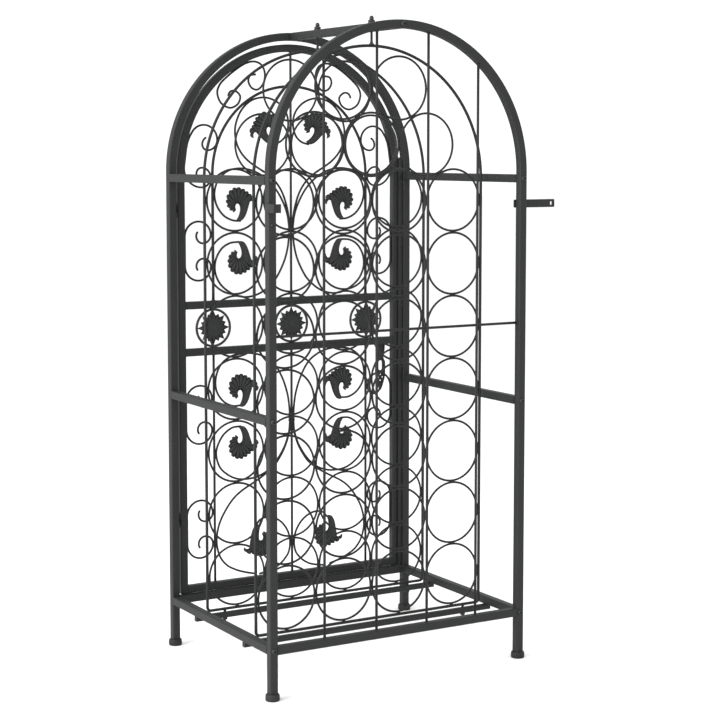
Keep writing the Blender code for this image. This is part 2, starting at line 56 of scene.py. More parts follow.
# %% Sizes of the square tubes
def spot(node):
    """Middle and size of a node of the frame."""
    low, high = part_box(node)
    return (low + high) / 2, high - low


TUBE = spot("front_bottom_rail")[1].z
CORNER = 0.0017         # rounding of a tube's long edges
HALF_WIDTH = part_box("front_arch_tube")[1].x - TUBE / 2
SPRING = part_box("ridge_bar")[0].z + TUBE / 2 - HALF_WIDTH
FRONT, REAR = spot("front_bottom_rail")[0].y, spot("rear_bottom_rail")[0].y
DOOR_TUBE = spot("door_bottom_rail")[1].z
DOOR_Y = spot("door_bottom_rail")[0].y
DOOR_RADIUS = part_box("door_arch_tube")[1].x - DOOR_TUBE / 2
DOOR_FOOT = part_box("door_arch_tube")[0].z
PANELS = {"front": spot("front_cross_bar")[0].y, "rear": spot("rear_cross_bar")[0].y}
print("tube", round(TUBE, 5), "half width", round(HALF_WIDTH, 4), "arch springs at", round(SPRING, 4))

# %% [markdown]
# Every finish below is a node material, and writing shader maths node by node is
# hard to read. This small class wraps an output socket so that `a * b + 0.2`
# adds the Math nodes by itself. The reflected forms let a plain number stand on
# the left, as in `1 - mask`.

# %% Shader maths written as Python
class Value:
    """A number socket that can be used in a Python expression."""

    def __init__(self, sheet, socket):
        self.sheet, self.socket = sheet, socket

    def maths(self, operation, *terms):
        node = self.sheet.nodes.new("ShaderNodeMath")
        node.operation = operation
        for place, term in zip(node.inputs, terms):
            if isinstance(term, Value):
                self.sheet.links.new(term.socket, place)
            else:
                place.default_value = term
        return Value(self.sheet, node.outputs[0])

    def __add__(self, other):
        return self.maths("ADD", self, other)

    def __radd__(self, other):
        return self.maths("ADD", other, self)

    def __sub__(self, other):
        return self.maths("SUBTRACT", self, other)

    def __rsub__(self, other):
        return self.maths("SUBTRACT", other, self)

    def __mul__(self, other):
        return self.maths("MULTIPLY", self, other)

    def __rmul__(self, other):
        return self.maths("MULTIPLY", other, self)

    def between(self, low, high):
        """0 below low, 1 above high, and straight between them."""
        node = self.sheet.nodes.new("ShaderNodeMapRange")
        self.sheet.links.new(self.socket, node.inputs[0])
        node.inputs[1].default_value, node.inputs[2].default_value = low, high
        return Value(self.sheet, node.outputs[0])


print("shader maths ready")

# %% [markdown]
# A finish is one material with a Principled shader. Any node that isn't plain
# maths comes from `add`, which takes the node's type, the settings that decide
# which sockets it has, and then what goes into those sockets. Patterns read
# Object coordinates, because each finished object stands at the origin and the
# grain then has its true size in metres.

# %% A finish and its nodes
class Finish:
    """One material being written."""

    def __init__(self, name, **fixed):
        self.material = bpy.data.materials.new(name)
        self.material.use_nodes = True
        self.sheet = self.material.node_tree
        self.shader = self.sheet.nodes["Principled BSDF"]
        for socket, value in fixed.items():
            self.shader.inputs[socket.replace("_", " ")].default_value = value
        self.point = self.add("ShaderNodeTexCoord").outputs["Object"]

    def add(self, kind, settings=None, sockets=None):
        node = self.sheet.nodes.new(kind)
        for name, value in (settings or {}).items():
            setattr(node, name, value)
        for name, value in (sockets or {}).items():
            self.feed(node.inputs[name], value)
        return node

    def feed(self, place, value):
        if isinstance(value, Value):
            value = value.socket
        if isinstance(value, bpy.types.NodeSocket):
            self.sheet.links.new(value, place)
        else:
            place.default_value = value

    def noise(self, scale, detail=2.0, rough=0.5):
        node = self.add("ShaderNodeTexNoise", {"noise_dimensions": "3D"},
                        {"Vector": self.point, "Scale": scale, "Detail": detail, "Roughness": rough})
        return Value(self.sheet, node.outputs["Fac"])

    def cells(self, scale, smooth=False):
        settings = {"feature": "SMOOTH_F1" if smooth else "F1"}
        node = self.add("ShaderNodeTexVoronoi", settings, {"Vector": self.point, "Scale": scale})
        return Value(self.sheet, node.outputs["Distance"])

    def blend(self, mask, dark, light):
        """A colour between two others; each is a triple or an earlier colour."""
        colours = [(*c, 1.0) if isinstance(c, tuple) else c for c in (dark, light)]
        node = self.add("ShaderNodeMix", {"data_type": "RGBA", "clamp_factor": True},
                        {0: mask, 6: colours[0], 7: colours[1]})
        return node.outputs[2]

    def bump(self, height, strength, distance, over=None):
        """A bumped normal; over is the normal of the coarser bump that it lies on."""
        sockets = {"Height": height, "Strength": strength, "Distance": distance}
        if over is not None:
            sockets["Normal"] = over
        return self.add("ShaderNodeBump", None, sockets).outputs["Normal"]

    def done(self, **linked):
        for socket, value in linked.items():
            self.feed(self.shader.inputs[socket.replace("_", " ")], value)
        return self.material


print("finishes ready")

# %% [markdown]
# Nearly all of the rack wears one coat of charcoal powder. Baked powder isn't
# smooth: it has a fine sandy grain under a millimetre wide, a slow orange-peel
# wave of a few millimetres, and areas where the coat lies a little thicker and
# greyer. Each of those is a noise at its own scale. The grain also scatters tiny
# pale specks, which is what makes the coat look grey and not black up close. The
# wires wear the same powder but take a darker copy of the mix, painted shade
# because a wire shows so little face, and half the grain.

# %% Powder coat
def powder_coat(name, dark, light, grain_depth=0.00022, peel_depth=0.00035):
    f = Finish(name, IOR=1.47, Specular_IOR_Level=0.34)
    grain = f.noise(1150.0, 3.0, 0.62)
    peel = f.noise(330.0, 2.0, 0.5)
    cloud = f.noise(17.0, 4.0, 0.55)
    specks = 1.0 - f.cells(620.0).between(0.10, 0.34)
    tone = grain.between(0.30, 0.72) * 0.45 + peel.between(0.3, 0.7) * 0.20 + cloud.between(0.32, 0.7) * 0.35
    body = f.blend(tone, dark, light)
    pale = tuple(min(1.0, c * 1.9) for c in light)
    colour = f.blend(specks * 0.35, body, pale)
    rough = 0.50 + cloud.between(0.3, 0.7) * 0.10 + grain.between(0.3, 0.7) * 0.08
    wave = f.bump(peel, 0.55, peel_depth)
    fine = f.bump(grain + specks * 0.4, 0.65, grain_depth, over=wave)
    return f.done(Base_Color=colour, Roughness=rough, Normal=fine)


CHARCOAL = (0.0070, 0.0077, 0.0075)
COAT = powder_coat("charcoal_powder_coat", CHARCOAL, (0.0165, 0.0180, 0.0174))
# the same powder painted darker: painted shade on every wire and ring
WIRE_COAT = powder_coat("charcoal_wire_coat_painted_darker", (0.0046, 0.0051, 0.0049), (0.0110, 0.0120, 0.0116),
                        grain_depth=0.00012, peel_depth=0.00018)
print(COAT.name, len(COAT.node_tree.nodes), "nodes;", WIRE_COAT.name)

# %% [markdown]
# The leaves and suns are small castings under the same powder. Sand casting
# leaves a coarser skin. Shade is painted into the colour: the grooves between the
# lobes and the rims are painted near black, and the ridges a little lighter. Each
# leaf and sun carries a number on its points for this painted light and shade,
# near 0 in a groove and at a rim and near 1 on a ridge; an Attribute node reads it.

# %% Coat over castings
def cast_coat():
    f = Finish("charcoal_cast_coat_painted_shade", IOR=1.47, Specular_IOR_Level=0.30)
    ridge = Value(f.sheet, f.add("ShaderNodeAttribute", {"attribute_name": "painted_lightness"}).outputs["Fac"])
    sand = f.noise(520.0, 4.0, 0.65)
    grain = f.noise(1300.0, 2.0, 0.6)
    pits = f.cells(430.0, smooth=True)
    # painted light: the ridge number makes ridges a little lighter
    tone = sand.between(0.32, 0.7) * 0.5 + grain.between(0.3, 0.7) * 0.2 + ridge * 0.3
    skin = f.blend(tone, CHARCOAL, (0.0340, 0.0364, 0.0355))
    # painted shade: grooves and rims blended to near black by the ridge number
    colour = f.blend(ridge.between(0.1, 0.85), (0.0012, 0.0013, 0.0013), skin)
    rough = 0.46 + sand.between(0.3, 0.7) * 0.16
    coarse = f.bump(pits + sand * 0.6, 0.7, 0.00045)
    return f.done(Base_Color=colour, Roughness=rough, Normal=f.bump(grain, 0.5, 0.00015, over=coarse))


CAST = cast_coat()
print(CAST.name, len(CAST.node_tree.nodes), "nodes")

# %% [markdown]
# Bolts, nuts, hinge pins and the hasp are steel with a thin black finish. It is
# smoother than powder and a little metallic, with fine handling scuffs that let
# brighter steel through. The foot caps are moulded black plastic: soft, matt,
# with a faint spark texture from the mould.

# %% Blackened steel and moulded plastic
def black_steel():
    f = Finish("blackened_steel", IOR=1.5)
    fine = f.noise(900.0, 3.0, 0.6)
    smear = f.noise(120.0, 4.0, 0.65)
    scuff = (smear.between(0.56, 0.72) * fine.between(0.45, 0.7)) * 0.8
    colour = f.blend(scuff, (0.0150, 0.0158, 0.0160), (0.070, 0.072, 0.073))
    return f.done(Base_Color=colour, Roughness=0.38 + smear * 0.22 - scuff * 0.08,
                  Metallic=0.35 + scuff * 0.5, Normal=f.bump(fine, 0.4, 0.00012))


def cap_plastic():
    f = Finish("moulded_cap_plastic", IOR=1.46, Specular_IOR_Level=0.35)
    spark = f.noise(1500.0, 2.0, 0.7)
    dust = f.noise(60.0, 4.0, 0.6)
    colour = f.blend(dust.between(0.45, 0.75), (0.0080, 0.0084, 0.0086), (0.0200, 0.0204, 0.0200))
    return f.done(Base_Color=colour, Roughness=0.52 + dust * 0.2, Normal=f.bump(spark, 0.5, 0.00018))


STEEL, PLASTIC = black_steel(), cap_plastic()
print(STEEL.name, PLASTIC.name)

# %% [markdown]
# Each piece is built as a bmesh and ends here. The mesh gets outward normals,
# smooth shading, its finish and a body to ride on, and it is given its name; the
# frame nodes it covers are hidden. The object stays at the origin and its place is
# in its mesh, just as for the frame's own nodes.

# %% Finishing a piece
MADE = []


def finished(name, bm, body, material, *nodes):
    bmesh.ops.remove_doubles(bm, verts=bm.verts[:], dist=1e-7)
    bmesh.ops.recalc_face_normals(bm, faces=bm.faces[:])
    for face in bm.faces:
        face.smooth = True
    mesh = bpy.data.meshes.new(name)
    bm.to_mesh(mesh)
    bm.free()
    mesh.materials.append(material)
    piece = bpy.data.objects.new(name, mesh)
    bpy.context.scene.collection.objects.link(piece)
    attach(piece, body)
    if nodes:
        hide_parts(*nodes)
    MADE.append(piece)
    return piece


def gather(total, part):
    """Move a finished part into the bmesh of the whole piece."""
    mesh = bpy.data.meshes.new("part")
    part.to_mesh(mesh)
    part.free()
    total.from_mesh(mesh)
    bpy.data.meshes.remove(mesh)


print("finishing ready")

# %% [markdown]
# A few moves come back in nearly every piece, and each gets a short name here:
# shift it, turn it, soften its edges, or keep its crisp edges crisp. The bevel and
# the spin are given all their settings, since the defaults of `bmesh.ops` aren't
# those of the editor.

# %% Short names for common moves
POINT, EDGE = bmesh.types.BMVert, bmesh.types.BMEdge
UP = Vector((0, 0, 1))
BITE = 0.0003           # how far a wire is let into what it is welded to


def shift(x, y, z):
    return Matrix.Translation((x, y, z))


def turn_by(degrees, axis="Y"):
    return Matrix.Rotation(math.radians(degrees), 4, axis)


def put(bm, matrix, points=None):
    bmesh.ops.transform(bm, matrix=matrix, verts=points or bm.verts[:])


def only(kind, geom):
    return [g for g in geom if isinstance(g, kind)]


def soften(bm, edges, offset, segments=2, clamp=False):
    return bmesh.ops.bevel(bm, geom=edges, offset=offset, segments=segments, profile=0.5,
                           affect="EDGES", material=-1, clamp_overlap=clamp)["faces"]


def folds(bm, degrees):
    """Edges where two faces meet at more than this angle."""
    return [e for e in bm.edges if len(e.link_faces) == 2 and e.calc_face_angle(0.0) > math.radians(degrees)]


def crisp(edges):
    """Mark edges sharp, so that smooth shading stops at them."""
    for edge in edges:
        edge.smooth = False


def draw(bm, stops):
    """A chain of edges through (radius, height) stops."""
    verts = [bm.verts.new((r, 0, h)) for r, h in stops]
    for pair in zip(verts, verts[1:]):
        bm.edges.new(pair)


def spin_round(bm, axis, steps):
    """Take all of the bmesh once round an axis through the origin."""
    bmesh.ops.spin(bm, geom=bm.verts[:] + bm.edges[:], cent=(0, 0, 0), axis=axis, dvec=(0, 0, 0),
                   angle=2 * math.pi, steps=steps, use_merge=True, use_duplicate=False)


def stand(bm, at, axis):
    """Tip a shape that stands on +Z over to an axis, and put it at a point."""
    put(bm, Matrix.Translation(at) @ UP.rotation_difference(Vector(axis)).to_matrix().to_4x4())


print("a third turn of +X gives", [round(v, 3) for v in turn_by(120, "Z") @ Vector((1, 0, 0))])

# %% [markdown]
# A bent tube or wire is a section carried along a centre line. The line is kept
# as a list of places, each a matrix whose Z points along the line. A walk makes
# such a list the way a smith bends a bar: so far straight on, then round a bend
# of this radius, then straight again. Bends to the walker's +X side are positive.

# %% A walk along a centre line
class Walk:
    """Places along a line in an upright plane, from straight runs and bends."""

    def __init__(self, x, y, z, heading=0.0):
        self.places = [shift(x, y, z) @ turn_by(heading)]

    def on(self, length, steps=1):
        for _ in range(steps):
            self.places.append(self.places[-1] @ shift(0, 0, length / steps))
        return self

    def bend(self, radius, degrees, steps):
        side = math.copysign(radius, degrees)
        part = Matrix.Rotation(math.radians(degrees) / steps, 4, "Y")
        turn = shift(side, 0, 0) @ part @ shift(-side, 0, 0)
        for _ in range(steps):
            self.places.append(self.places[-1] @ turn)
        return self


def smooth_line(a, b, c, d, t):
    """Point at t, from 0 to 1, between b and c on the smooth line through four stops."""
    return 0.5 * (2 * b + (c - a) * t + (2 * a - 5 * b + 4 * c - d) * t * t
                  + (3 * b - 3 * c + d - a) * t ** 3)


def through(stops, y, closeness=0.0035):
    """Places on a smooth curve through (x, z) stops, close enough together to look round."""
    pts = [Vector((x, 0, z)) for x, z in stops]
    ends = [2 * pts[0] - pts[1]] + pts + [2 * pts[-1] - pts[-2]]
    line = []
    for a, b, c, d in zip(ends, ends[1:], ends[2:], ends[3:]):
        count = max(2, round((c - b).length / closeness))
        line += [smooth_line(a, b, c, d, i / count) for i in range(count)]
    line.append(pts[-1])
    places = []
    for i, here in enumerate(line):
        along = (line[min(i + 1, len(line) - 1)] - line[max(i - 1, 0)]).normalized()
        places.append(shift(here.x, y, here.z) @ Matrix.Rotation(math.atan2(along.x, along.z), 4, "Y"))
    return places


print("a quarter bend has", len(Walk(0, 0, 0).bend(0.1, 90, 16).places), "places")

# %% [markdown]
# Carrying the section uses two operators only. `extrude_edge_only` grows a new
# ring of edges from the last one, and `transform` moves it to the next place. A
# round wire starts from a circle. A square tube starts from a circle of four
# points; after the sweep its four long edges are bevelled, and the edges where
# the bevel meets the flats are marked sharp so the flats still shade flat. Powder
# thickens a thin wire much more than a tube, so every round wire is drawn a sixth
# thicker than the bare rod; its centre line stays where the frame has it.

# %% Wires and square tubes
POWDER = 1.16           # how much the baked coat thickens a wire


def carry(bm, places, closed=False):
    """Extrude the flat outline in a new bmesh through the places; gives the long edges."""
    put(bm, places[0])
    first = edges = bm.edges[:]
    across = list(first)
    for here, there in zip(places, places[1:]):
        grown = bmesh.ops.extrude_edge_only(bm, edges=edges)["geom"]
        edges = only(EDGE, grown)
        put(bm, there @ here.inverted(), only(POINT, grown))
        across += edges
    if closed:
        bmesh.ops.bridge_loops(bm, edges=first + edges)
    across = set(across)
    return [e for e in bm.edges if e not in across]


def wire(places, radius, sides=10, closed=False, tips=(False, False)):
    """Round wire along the places. A free tip is rounded off by shrinking rings."""
    radius = radius * POWDER
    places = list(places)
    dome = [(math.sin(a), math.cos(a)) for a in (math.radians(d) for d in (35, 65, 84))]
    if tips[1]:
        end = places[-1]
        places += [end @ shift(0, 0, radius * s) @ Matrix.Scale(c, 4) for s, c in dome]
    if tips[0]:
        end = places[0]
        places = [end @ shift(0, 0, -radius * s) @ Matrix.Scale(c, 4) for s, c in reversed(dome)] + places
    bm = bmesh.new()
    bmesh.ops.create_circle(bm, cap_ends=False, radius=radius, segments=sides)
    carry(bm, places, closed)
    if not closed:
        bmesh.ops.holes_fill(bm, edges=bm.edges[:], sides=0)
    return bm


def square_tube(places, side, corner=CORNER):
    """Square tube along the places, with rounded corners and cut ends."""
    bm = bmesh.new()
    bmesh.ops.create_circle(bm, cap_ends=False, radius=side / math.sqrt(2), segments=4,
                            matrix=turn_by(45, "Z"))
    rounds = set(soften(bm, carry(bm, places), corner, segments=4, clamp=True))
    crisp(e for e in bm.edges if len({f in rounds for f in e.link_faces}) == 2)
    for cap in bmesh.ops.holes_fill(bm, edges=bm.edges[:], sides=0)["faces"]:
        crisp(cap.edges)
    return bm


print("a short tube has", len(square_tube(Walk(0, 0, 0).on(0.1).places, TUBE).faces), "faces")

# %% [markdown]
# The two big arches carry the whole rack. On the real one each is a single length
# of tube, bent over a former into half a circle with two straight legs. That is
# exactly how it is walked here: up one leg, round 180 degrees, down the other.

# %% The two arched frames
def arch(y, foot, radius, side):
    leg = SPRING - foot
    return square_tube(Walk(-radius, y, foot).on(leg).bend(radius, 180, 72).on(leg).places, side)


INTO_CAP = 0.0002       # how far a leg is pushed into its foot cap
for end, y in (("front", FRONT), ("rear", REAR)):
    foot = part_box(f"{end}_arch_tube")[0].z - INTO_CAP
    piece = finished(f"{end}_arch", arch(y, foot, HALF_WIDTH, TUBE), "rack", COAT, f"{end}_arch_tube")
    print(piece.name, len(piece.data.polygons), "faces")

# %% [markdown]
# Straight rails tie the arches together: one bar between the legs of each arch,
# three on each side from front to rear, and a ridge bar between the two tops.
# They are the same tube, sawn square and bolted or welded between the posts. A
# rail is the shortest sweep of all, so its length comes from the node's own box.

# %% Rails and ridge bar
def straight(node, name, body="rack", corner=CORNER):
    """Straight square tube in place of a node, along the longest side of its box."""
    middle, size = spot(node)
    length = max(size)
    turn = (turn_by(90), turn_by(-90, "X"), Matrix.Identity(4))[list(size).index(length)]
    start = Matrix.Translation(middle) @ turn @ shift(0, 0, -length / 2)
    bm = square_tube([start, start @ shift(0, 0, length)], min(size), corner)
    return finished(name, bm, body, COAT, node)


for end in ("front", "rear"):
    straight(f"{end}_bottom_rail", f"{end}_foot_rail")
    straight(f"{end}_cross_bar", f"{end}_panel_bar", corner=0.0012)
for side in ("left", "right"):
    for level in ("low", "mid", "top"):
        straight(f"side_rail_{level}_{side}", f"{level}_rail_{side}")
straight("ridge_bar", "ridge_rail")
print("rails:", len(MADE) - 2)

# %% [markdown]
# Feet, bolts, nuts and studs are all turned shapes. A turned shape is drawn as
# half an outline, a chain of edges from the axis out and back, and `spin` takes it
# round the axis. A full spin meets itself, so it is run with use_merge; the points
# on the axis are then one point many times over, and remove_doubles closes the pole.

# %% Turned parts
def turned(profile, at, axis=(0, 0, 1), steps=24):
    """Spin (radius, height) stops round an axis through a point."""
    bm = bmesh.new()
    draw(bm, profile)
    spin_round(bm, UP, steps)
    bmesh.ops.remove_doubles(bm, verts=bm.verts[:], dist=1e-6)
    stand(bm, at, axis)
    crisp(folds(bm, 50))
    return bm


disc = turned([(0, 0), (0.01, 0), (0.01, 0.002), (0, 0.002)], (0, 0, 0))
print("a turned disc has", len(disc.faces), "faces")

# %% [markdown]
# A moulded plastic cap is pushed over the foot of each leg. It is a short round
# shoe, a little wider than the tube, with a rolled upper lip round the tube and a
# rounded edge on the floor so that it slides without catching.

# %% Foot caps
CAP_SHAPE = [(0, 0), (0.82, 0), (0.93, 0.04), (0.985, 0.13), (1, 0.25), (0.985, 0.62), (0.965, 0.80),
             (0.90, 0.93), (0.80, 0.99), (0.66, 1), (0, 1)]     # parts of the radius and of the height
for end in ("front", "rear"):
    for side in ("left", "right"):
        node = f"foot_cap_{end}_{side}"
        middle, size = spot(node)
        r, h = size.x / 2, size.z
        outline = [(r * across, h * up) for across, up in CAP_SHAPE]
        finished(f"foot_shoe_{end}_{side}", turned(outline, (middle.x, middle.y, middle.z - h / 2), steps=40),
                 "rack", PLASTIC, node)
print("foot caps are", round(2 * r, 4), "m across")

# %% [markdown]
# A wine bottle lies through one ring of the front panel and one of the rear. The
# rings are 3 mm round wire, bent to a circle and butt-welded, and each panel holds
# four columns of seven with a crown of five on top. `spin` turns the small section
# circle once round the ring's centre, which gives a closed ring with no seam. A
# column is one pitch wide and its middle is the fourth ring's, so the frame's box of
# one column gives the pitch and the height of the first row.

# %% Bottle rings
low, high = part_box("front_ring_column_1")
PITCH = round((high - low).x, 4)
RING_WIRE = 0.0015      # half of the bare wire's thickness
RING = PITCH / 2 - RING_WIRE
COLUMNS = [(1.5 - column) * PITCH for column in range(4)]
FIRST = (low.z + high.z) / 2 - 3 * PITCH
ROWS = [FIRST + row * PITCH for row in range(7)]


def ring(x, y, z, radius, thickness, steps=72, sides=8):
    bm = bmesh.new()
    bmesh.ops.create_circle(bm, cap_ends=False, radius=thickness * POWDER, segments=sides,
                            matrix=shift(radius, 0, 0))
    spin_round(bm, (0, 1, 0), steps)
    put(bm, shift(x, y, z))
    return bm


CROWN_RISE = PITCH * math.sin(math.radians(60))     # rings in a nest sit at 60 degrees
CROWN_GAP = 0.0003
CROWN_ONE = FIRST + 6 * PITCH + CROWN_RISE + CROWN_GAP
CROWN = [(PITCH, CROWN_ONE), (0.0, CROWN_ONE), (-PITCH, CROWN_ONE),
         (PITCH / 2, CROWN_ONE + CROWN_RISE), (-PITCH / 2, CROWN_ONE + CROWN_RISE)]
for end, y in PANELS.items():
    for number, x in enumerate(COLUMNS, 1):
        whole = bmesh.new()
        for z in ROWS:
            gather(whole, ring(x, y, z, RING, RING_WIRE))
        finished(f"{end}_bottle_rings_{number}", whole, "rack", WIRE_COAT, f"{end}_ring_column_{number}")
    whole = bmesh.new()
    for x, z in CROWN:
        gather(whole, ring(x, y, z, RING, RING_WIRE))
    finished(f"{end}_crown", whole, "rack", WIRE_COAT, f"{end}_crown_rings")
print("ring pitch", PITCH, "first row at", round(FIRST, 4), "crown at", [round(z, 4) for _, z in CROWN[::3]])

# %% [markdown]
# The rings meet only at points, so each touch is a spot weld: the two wires sink a
# little into each other and a small lump of metal swells round the joint. There are
# well over a hundred of them, so a lump is a low sphere of a few dozen faces,
# stretched along the joint, and all the lumps of a panel are one piece.

# %% Spot welds between rings
def lump(x, y, z, along, across, depth):
    bm = bmesh.new()
    place = shift(x, y, z) @ Matrix.Diagonal((across, depth, along, 1.0))
    bmesh.ops.create_uvsphere(bm, u_segments=8, v_segments=5, radius=1.0, matrix=place)
    return bm


def tilted_lump(x, y, z, angle, long=0.0034, wide=0.0016, depth=0.0016):
    """Lump whose long way lies at an angle from +X, in degrees."""
    bm = lump(0, 0, 0, wide, long, depth)
    put(bm, shift(x, y, z) @ turn_by(-angle))
    return bm


OUTLINE_SIDE = 2 * PITCH + 0.0002       # where the outer rings touch the outline wire
for end, y in PANELS.items():
    whole = bmesh.new()
    for x in COLUMNS:
        for z in ROWS:
            gather(whole, tilted_lump(x, y, z - PITCH / 2, 0))
            if x != COLUMNS[-1]:
                gather(whole, tilted_lump(x - PITCH / 2, y, z, 90))
    for side in (-1, 1):
        for z in ROWS:
            gather(whole, tilted_lump(side * OUTLINE_SIDE, y, z, 90))
    for x, z in CROWN:
        for other_x, other_z in CROWN + [(column, ROWS[-1]) for column in COLUMNS]:
            gap = math.hypot(other_x - x, other_z - z)
            if 0.9 * PITCH < gap < 1.1 * PITCH and other_z <= z:
                angle = math.degrees(math.atan2(other_z - z, other_x - x))
                gather(whole, tilted_lump((x + other_x) / 2, y, (z + other_z) / 2, angle + 90))
    piece = finished(f"{end}_ring_welds", whole, "rack", WIRE_COAT)
print("weld faces per panel:", len(piece.data.polygons))

# %% [markdown]
# One heavier wire runs all round each panel: along the bottom, up both sides and
# over in an arch. It is a single bar with a small bend at each lower corner and its
# two ends welded together, so the walk closes on itself and `bridge_loops` joins
# the last ring of the section to the first.

# %% Outline wire of each panel
THICK = 0.002           # half of the heavier bare wire's thickness
BEND = 0.006            # inside each lower corner
for end, y in PANELS.items():
    low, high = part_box(f"{end}_panel_wire")
    leg = high.x - THICK
    spring = high.z - THICK - leg
    rise = spring - low.z - THICK - BEND
    line = Walk(0, y, low.z + THICK, heading=-90).on(leg - BEND, 6).bend(BEND, 90, 8)
    line.on(rise, 12).bend(leg, 180, 80).on(rise, 12).bend(BEND, 90, 8).on(leg - BEND, 6)
    finished(f"{end}_panel_outline", wire(line.places[:-1], THICK, 12, closed=True), "rack", WIRE_COAT,
             f"{end}_panel_wire")
print("panel outline is", round(2 * leg, 4), "m wide")

# %% [markdown]
# Four upright wires and one rod across them close the rear of the frame, so that
# no bottle can slide out backwards. They are welded at both ends, and a weld
# leaves a small fillet: a collar that swells from the wire onto the tube. The
# collar is a turned shape with a hollow side.

# %% Rear guard wires and weld fillets
def fillet(at, axis, thin, wide=None, tall=None):
    """Weld metal round a wire that stands on a surface; axis points along the wire."""
    wide, tall = wide or thin * 1.9, tall or thin * 1.3
    under, flare = -0.0004, wide - thin
    outline = [(0, under), (wide, under), (wide * 0.97, tall * 0.12), (thin + flare * 0.45, tall * 0.34),
               (thin + flare * 0.16, tall * 0.66), (thin * 1.01, tall), (0, tall)]
    return turned(outline, at, axis, steps=14)


def upright(node, name, body="rack"):
    """Upright wire in place of a node, with a fillet at its foot and its head."""
    middle, size = spot(node)
    thin = min(size) / 2
    low, high = middle.z - size.z / 2 - BITE, middle.z + size.z / 2 + BITE
    whole = bmesh.new()
    gather(whole, wire(Walk(middle.x, middle.y, low).on(high - low, 8).places, thin, 12))
    gather(whole, fillet((middle.x, middle.y, low), (0, 0, 1), thin))
    gather(whole, fillet((middle.x, middle.y, high), (0, 0, -1), thin))
    return finished(name, whole, body, WIRE_COAT, node)


for i in range(1, 5):
    upright(f"rear_guard_wire_{i}", f"guard_upright_{i}")
middle, size = spot("rear_guard_rod")
whole = bmesh.new()
line = Walk(-size.x / 2 - BITE, middle.y, middle.z, heading=90).on(size.x + 2 * BITE, 12)
gather(whole, wire(line.places, size.z / 2, 12))
for side in (-1, 1):
    gather(whole, fillet((side * size.x / 2, middle.y, middle.z), (-side, 0, 0), size.z / 2))
for i in range(1, 5):
    crossed = spot(f"rear_guard_wire_{i}")[0]
    gather(whole, lump(crossed.x, (crossed.y + middle.y) / 2, middle.z, 0.0019, 0.0024, 0.0012))
finished("guard_cross_rod", whole, "rack", WIRE_COAT, "rear_guard_rod")
print("guard rod is", round(size.x, 4), "m long")

# %% [markdown]
# Button-head bolts hold the rails in the posts, and one small screw sits alone in
# the left rear post. A button head is a low dome with a hexagon socket. The dome is
# turned down to the rim of the socket; a hexagon with each side cut in four has as
# many points as that rim, so `bridge_loops` joins the two, and the hexagon is
# extruded inwards and filled to make the socket.

# %% Button-head bolts
def button_head(at, axis, radius=0.0046, height=0.0028):
    socket = radius * 0.40
    bm = bmesh.new()
    draw(bm, [(radius * 0.96, -0.0006), (radius, 0.0), (radius * 0.985, height * 0.22),
              (radius * 0.90, height * 0.52), (radius * 0.76, height * 0.78), (radius * 0.60, height * 0.94),
              (socket * 1.22, height)])
    spin_round(bm, UP, 24)
    rim = [e for e in bm.edges if e.is_boundary and e.verts[0].co.z > height * 0.9]
    seat = [e for e in bm.edges if e.is_boundary and e.verts[0].co.z < 0]
    bmesh.ops.holes_fill(bm, edges=seat, sides=0)
    hexagon = bmesh.ops.create_circle(bm, cap_ends=False, radius=socket, segments=6,
                                      matrix=shift(0, 0, height * 0.97))["verts"]
    sides = list(dict.fromkeys(e for v in hexagon for e in v.link_edges))
    bmesh.ops.subdivide_edges(bm, edges=sides, cuts=3)
    mouth = [e for e in bm.edges if not e.link_faces]
    bmesh.ops.bridge_loops(bm, edges=rim + mouth)
    grown = bmesh.ops.extrude_edge_only(bm, edges=mouth)["geom"]
    bmesh.ops.translate(bm, vec=(0, 0, -height * 0.62), verts=only(POINT, grown))
    bmesh.ops.holes_fill(bm, edges=only(EDGE, grown), sides=0)
    crisp(folds(bm, 45))
    stand(bm, at, axis)
    return bm


RAIL_HEIGHTS = [spot(f"side_rail_{level}_left")[0].z for level in ("low", "mid", "top")]
RIDGE = spot("ridge_bar")[0].z
LONE_SCREW = 0.6905     # its height above the floor
for end, y, out in (("front", FRONT - TUBE / 2, -1), ("rear", REAR + TUBE / 2, 1)):
    whole = bmesh.new()
    for side in (-1, 1):
        for z in RAIL_HEIGHTS:
            gather(whole, button_head((side * HALF_WIDTH, y, z), (0, out, 0)))
    gather(whole, button_head((0, y, RIDGE), (0, out, 0)))
    if end == "rear":
        gather(whole, button_head((HALF_WIDTH, y, LONE_SCREW), (0, out, 0), 0.0030, 0.0020))
    finished(f"{end}_post_bolts", whole, "rack", STEEL)
print("bolts at heights", [round(z, 4) for z in RAIL_HEIGHTS + [RIDGE]])

# %% [markdown]
# Each panel stands on its cross bar and is clamped by two screws: a stem rises from
# the bar to the bottom wire and a small nut sits under the bar. At the top one
# threaded stud goes up through the ridge bar and is held by a nut and a ball. The
# thread is drawn into the outline of the turned stem as a row of small ridges.

# %% Clamp screws and hanging studs
def hexagon_nut(at, across, height):
    """Six-sided nut standing on a point, with its corners turned off."""
    bm = bmesh.new()
    bmesh.ops.create_cone(bm, cap_ends=True, cap_tris=False, segments=6, radius1=across, radius2=across,
                          depth=height, matrix=shift(0, 0, height / 2))
    soften(bm, bm.edges[:], across * 0.10)
    put(bm, shift(*at))
    return bm


def threaded(x, y, low, high, core, pitch=0.0008):
    """Threaded stem from one height to another."""
    outline = [(0, low), (core * 0.9, low)]
    turns = int((high - low) / pitch)
    for i in range(turns):
        z = low + (i + 0.25) * (high - low) / turns
        outline += [(core, z), (core * 0.86, z + pitch * 0.5)]
    outline += [(core * 0.9, high), (0, high)]
    return turned(outline, (x, y, 0), steps=12)


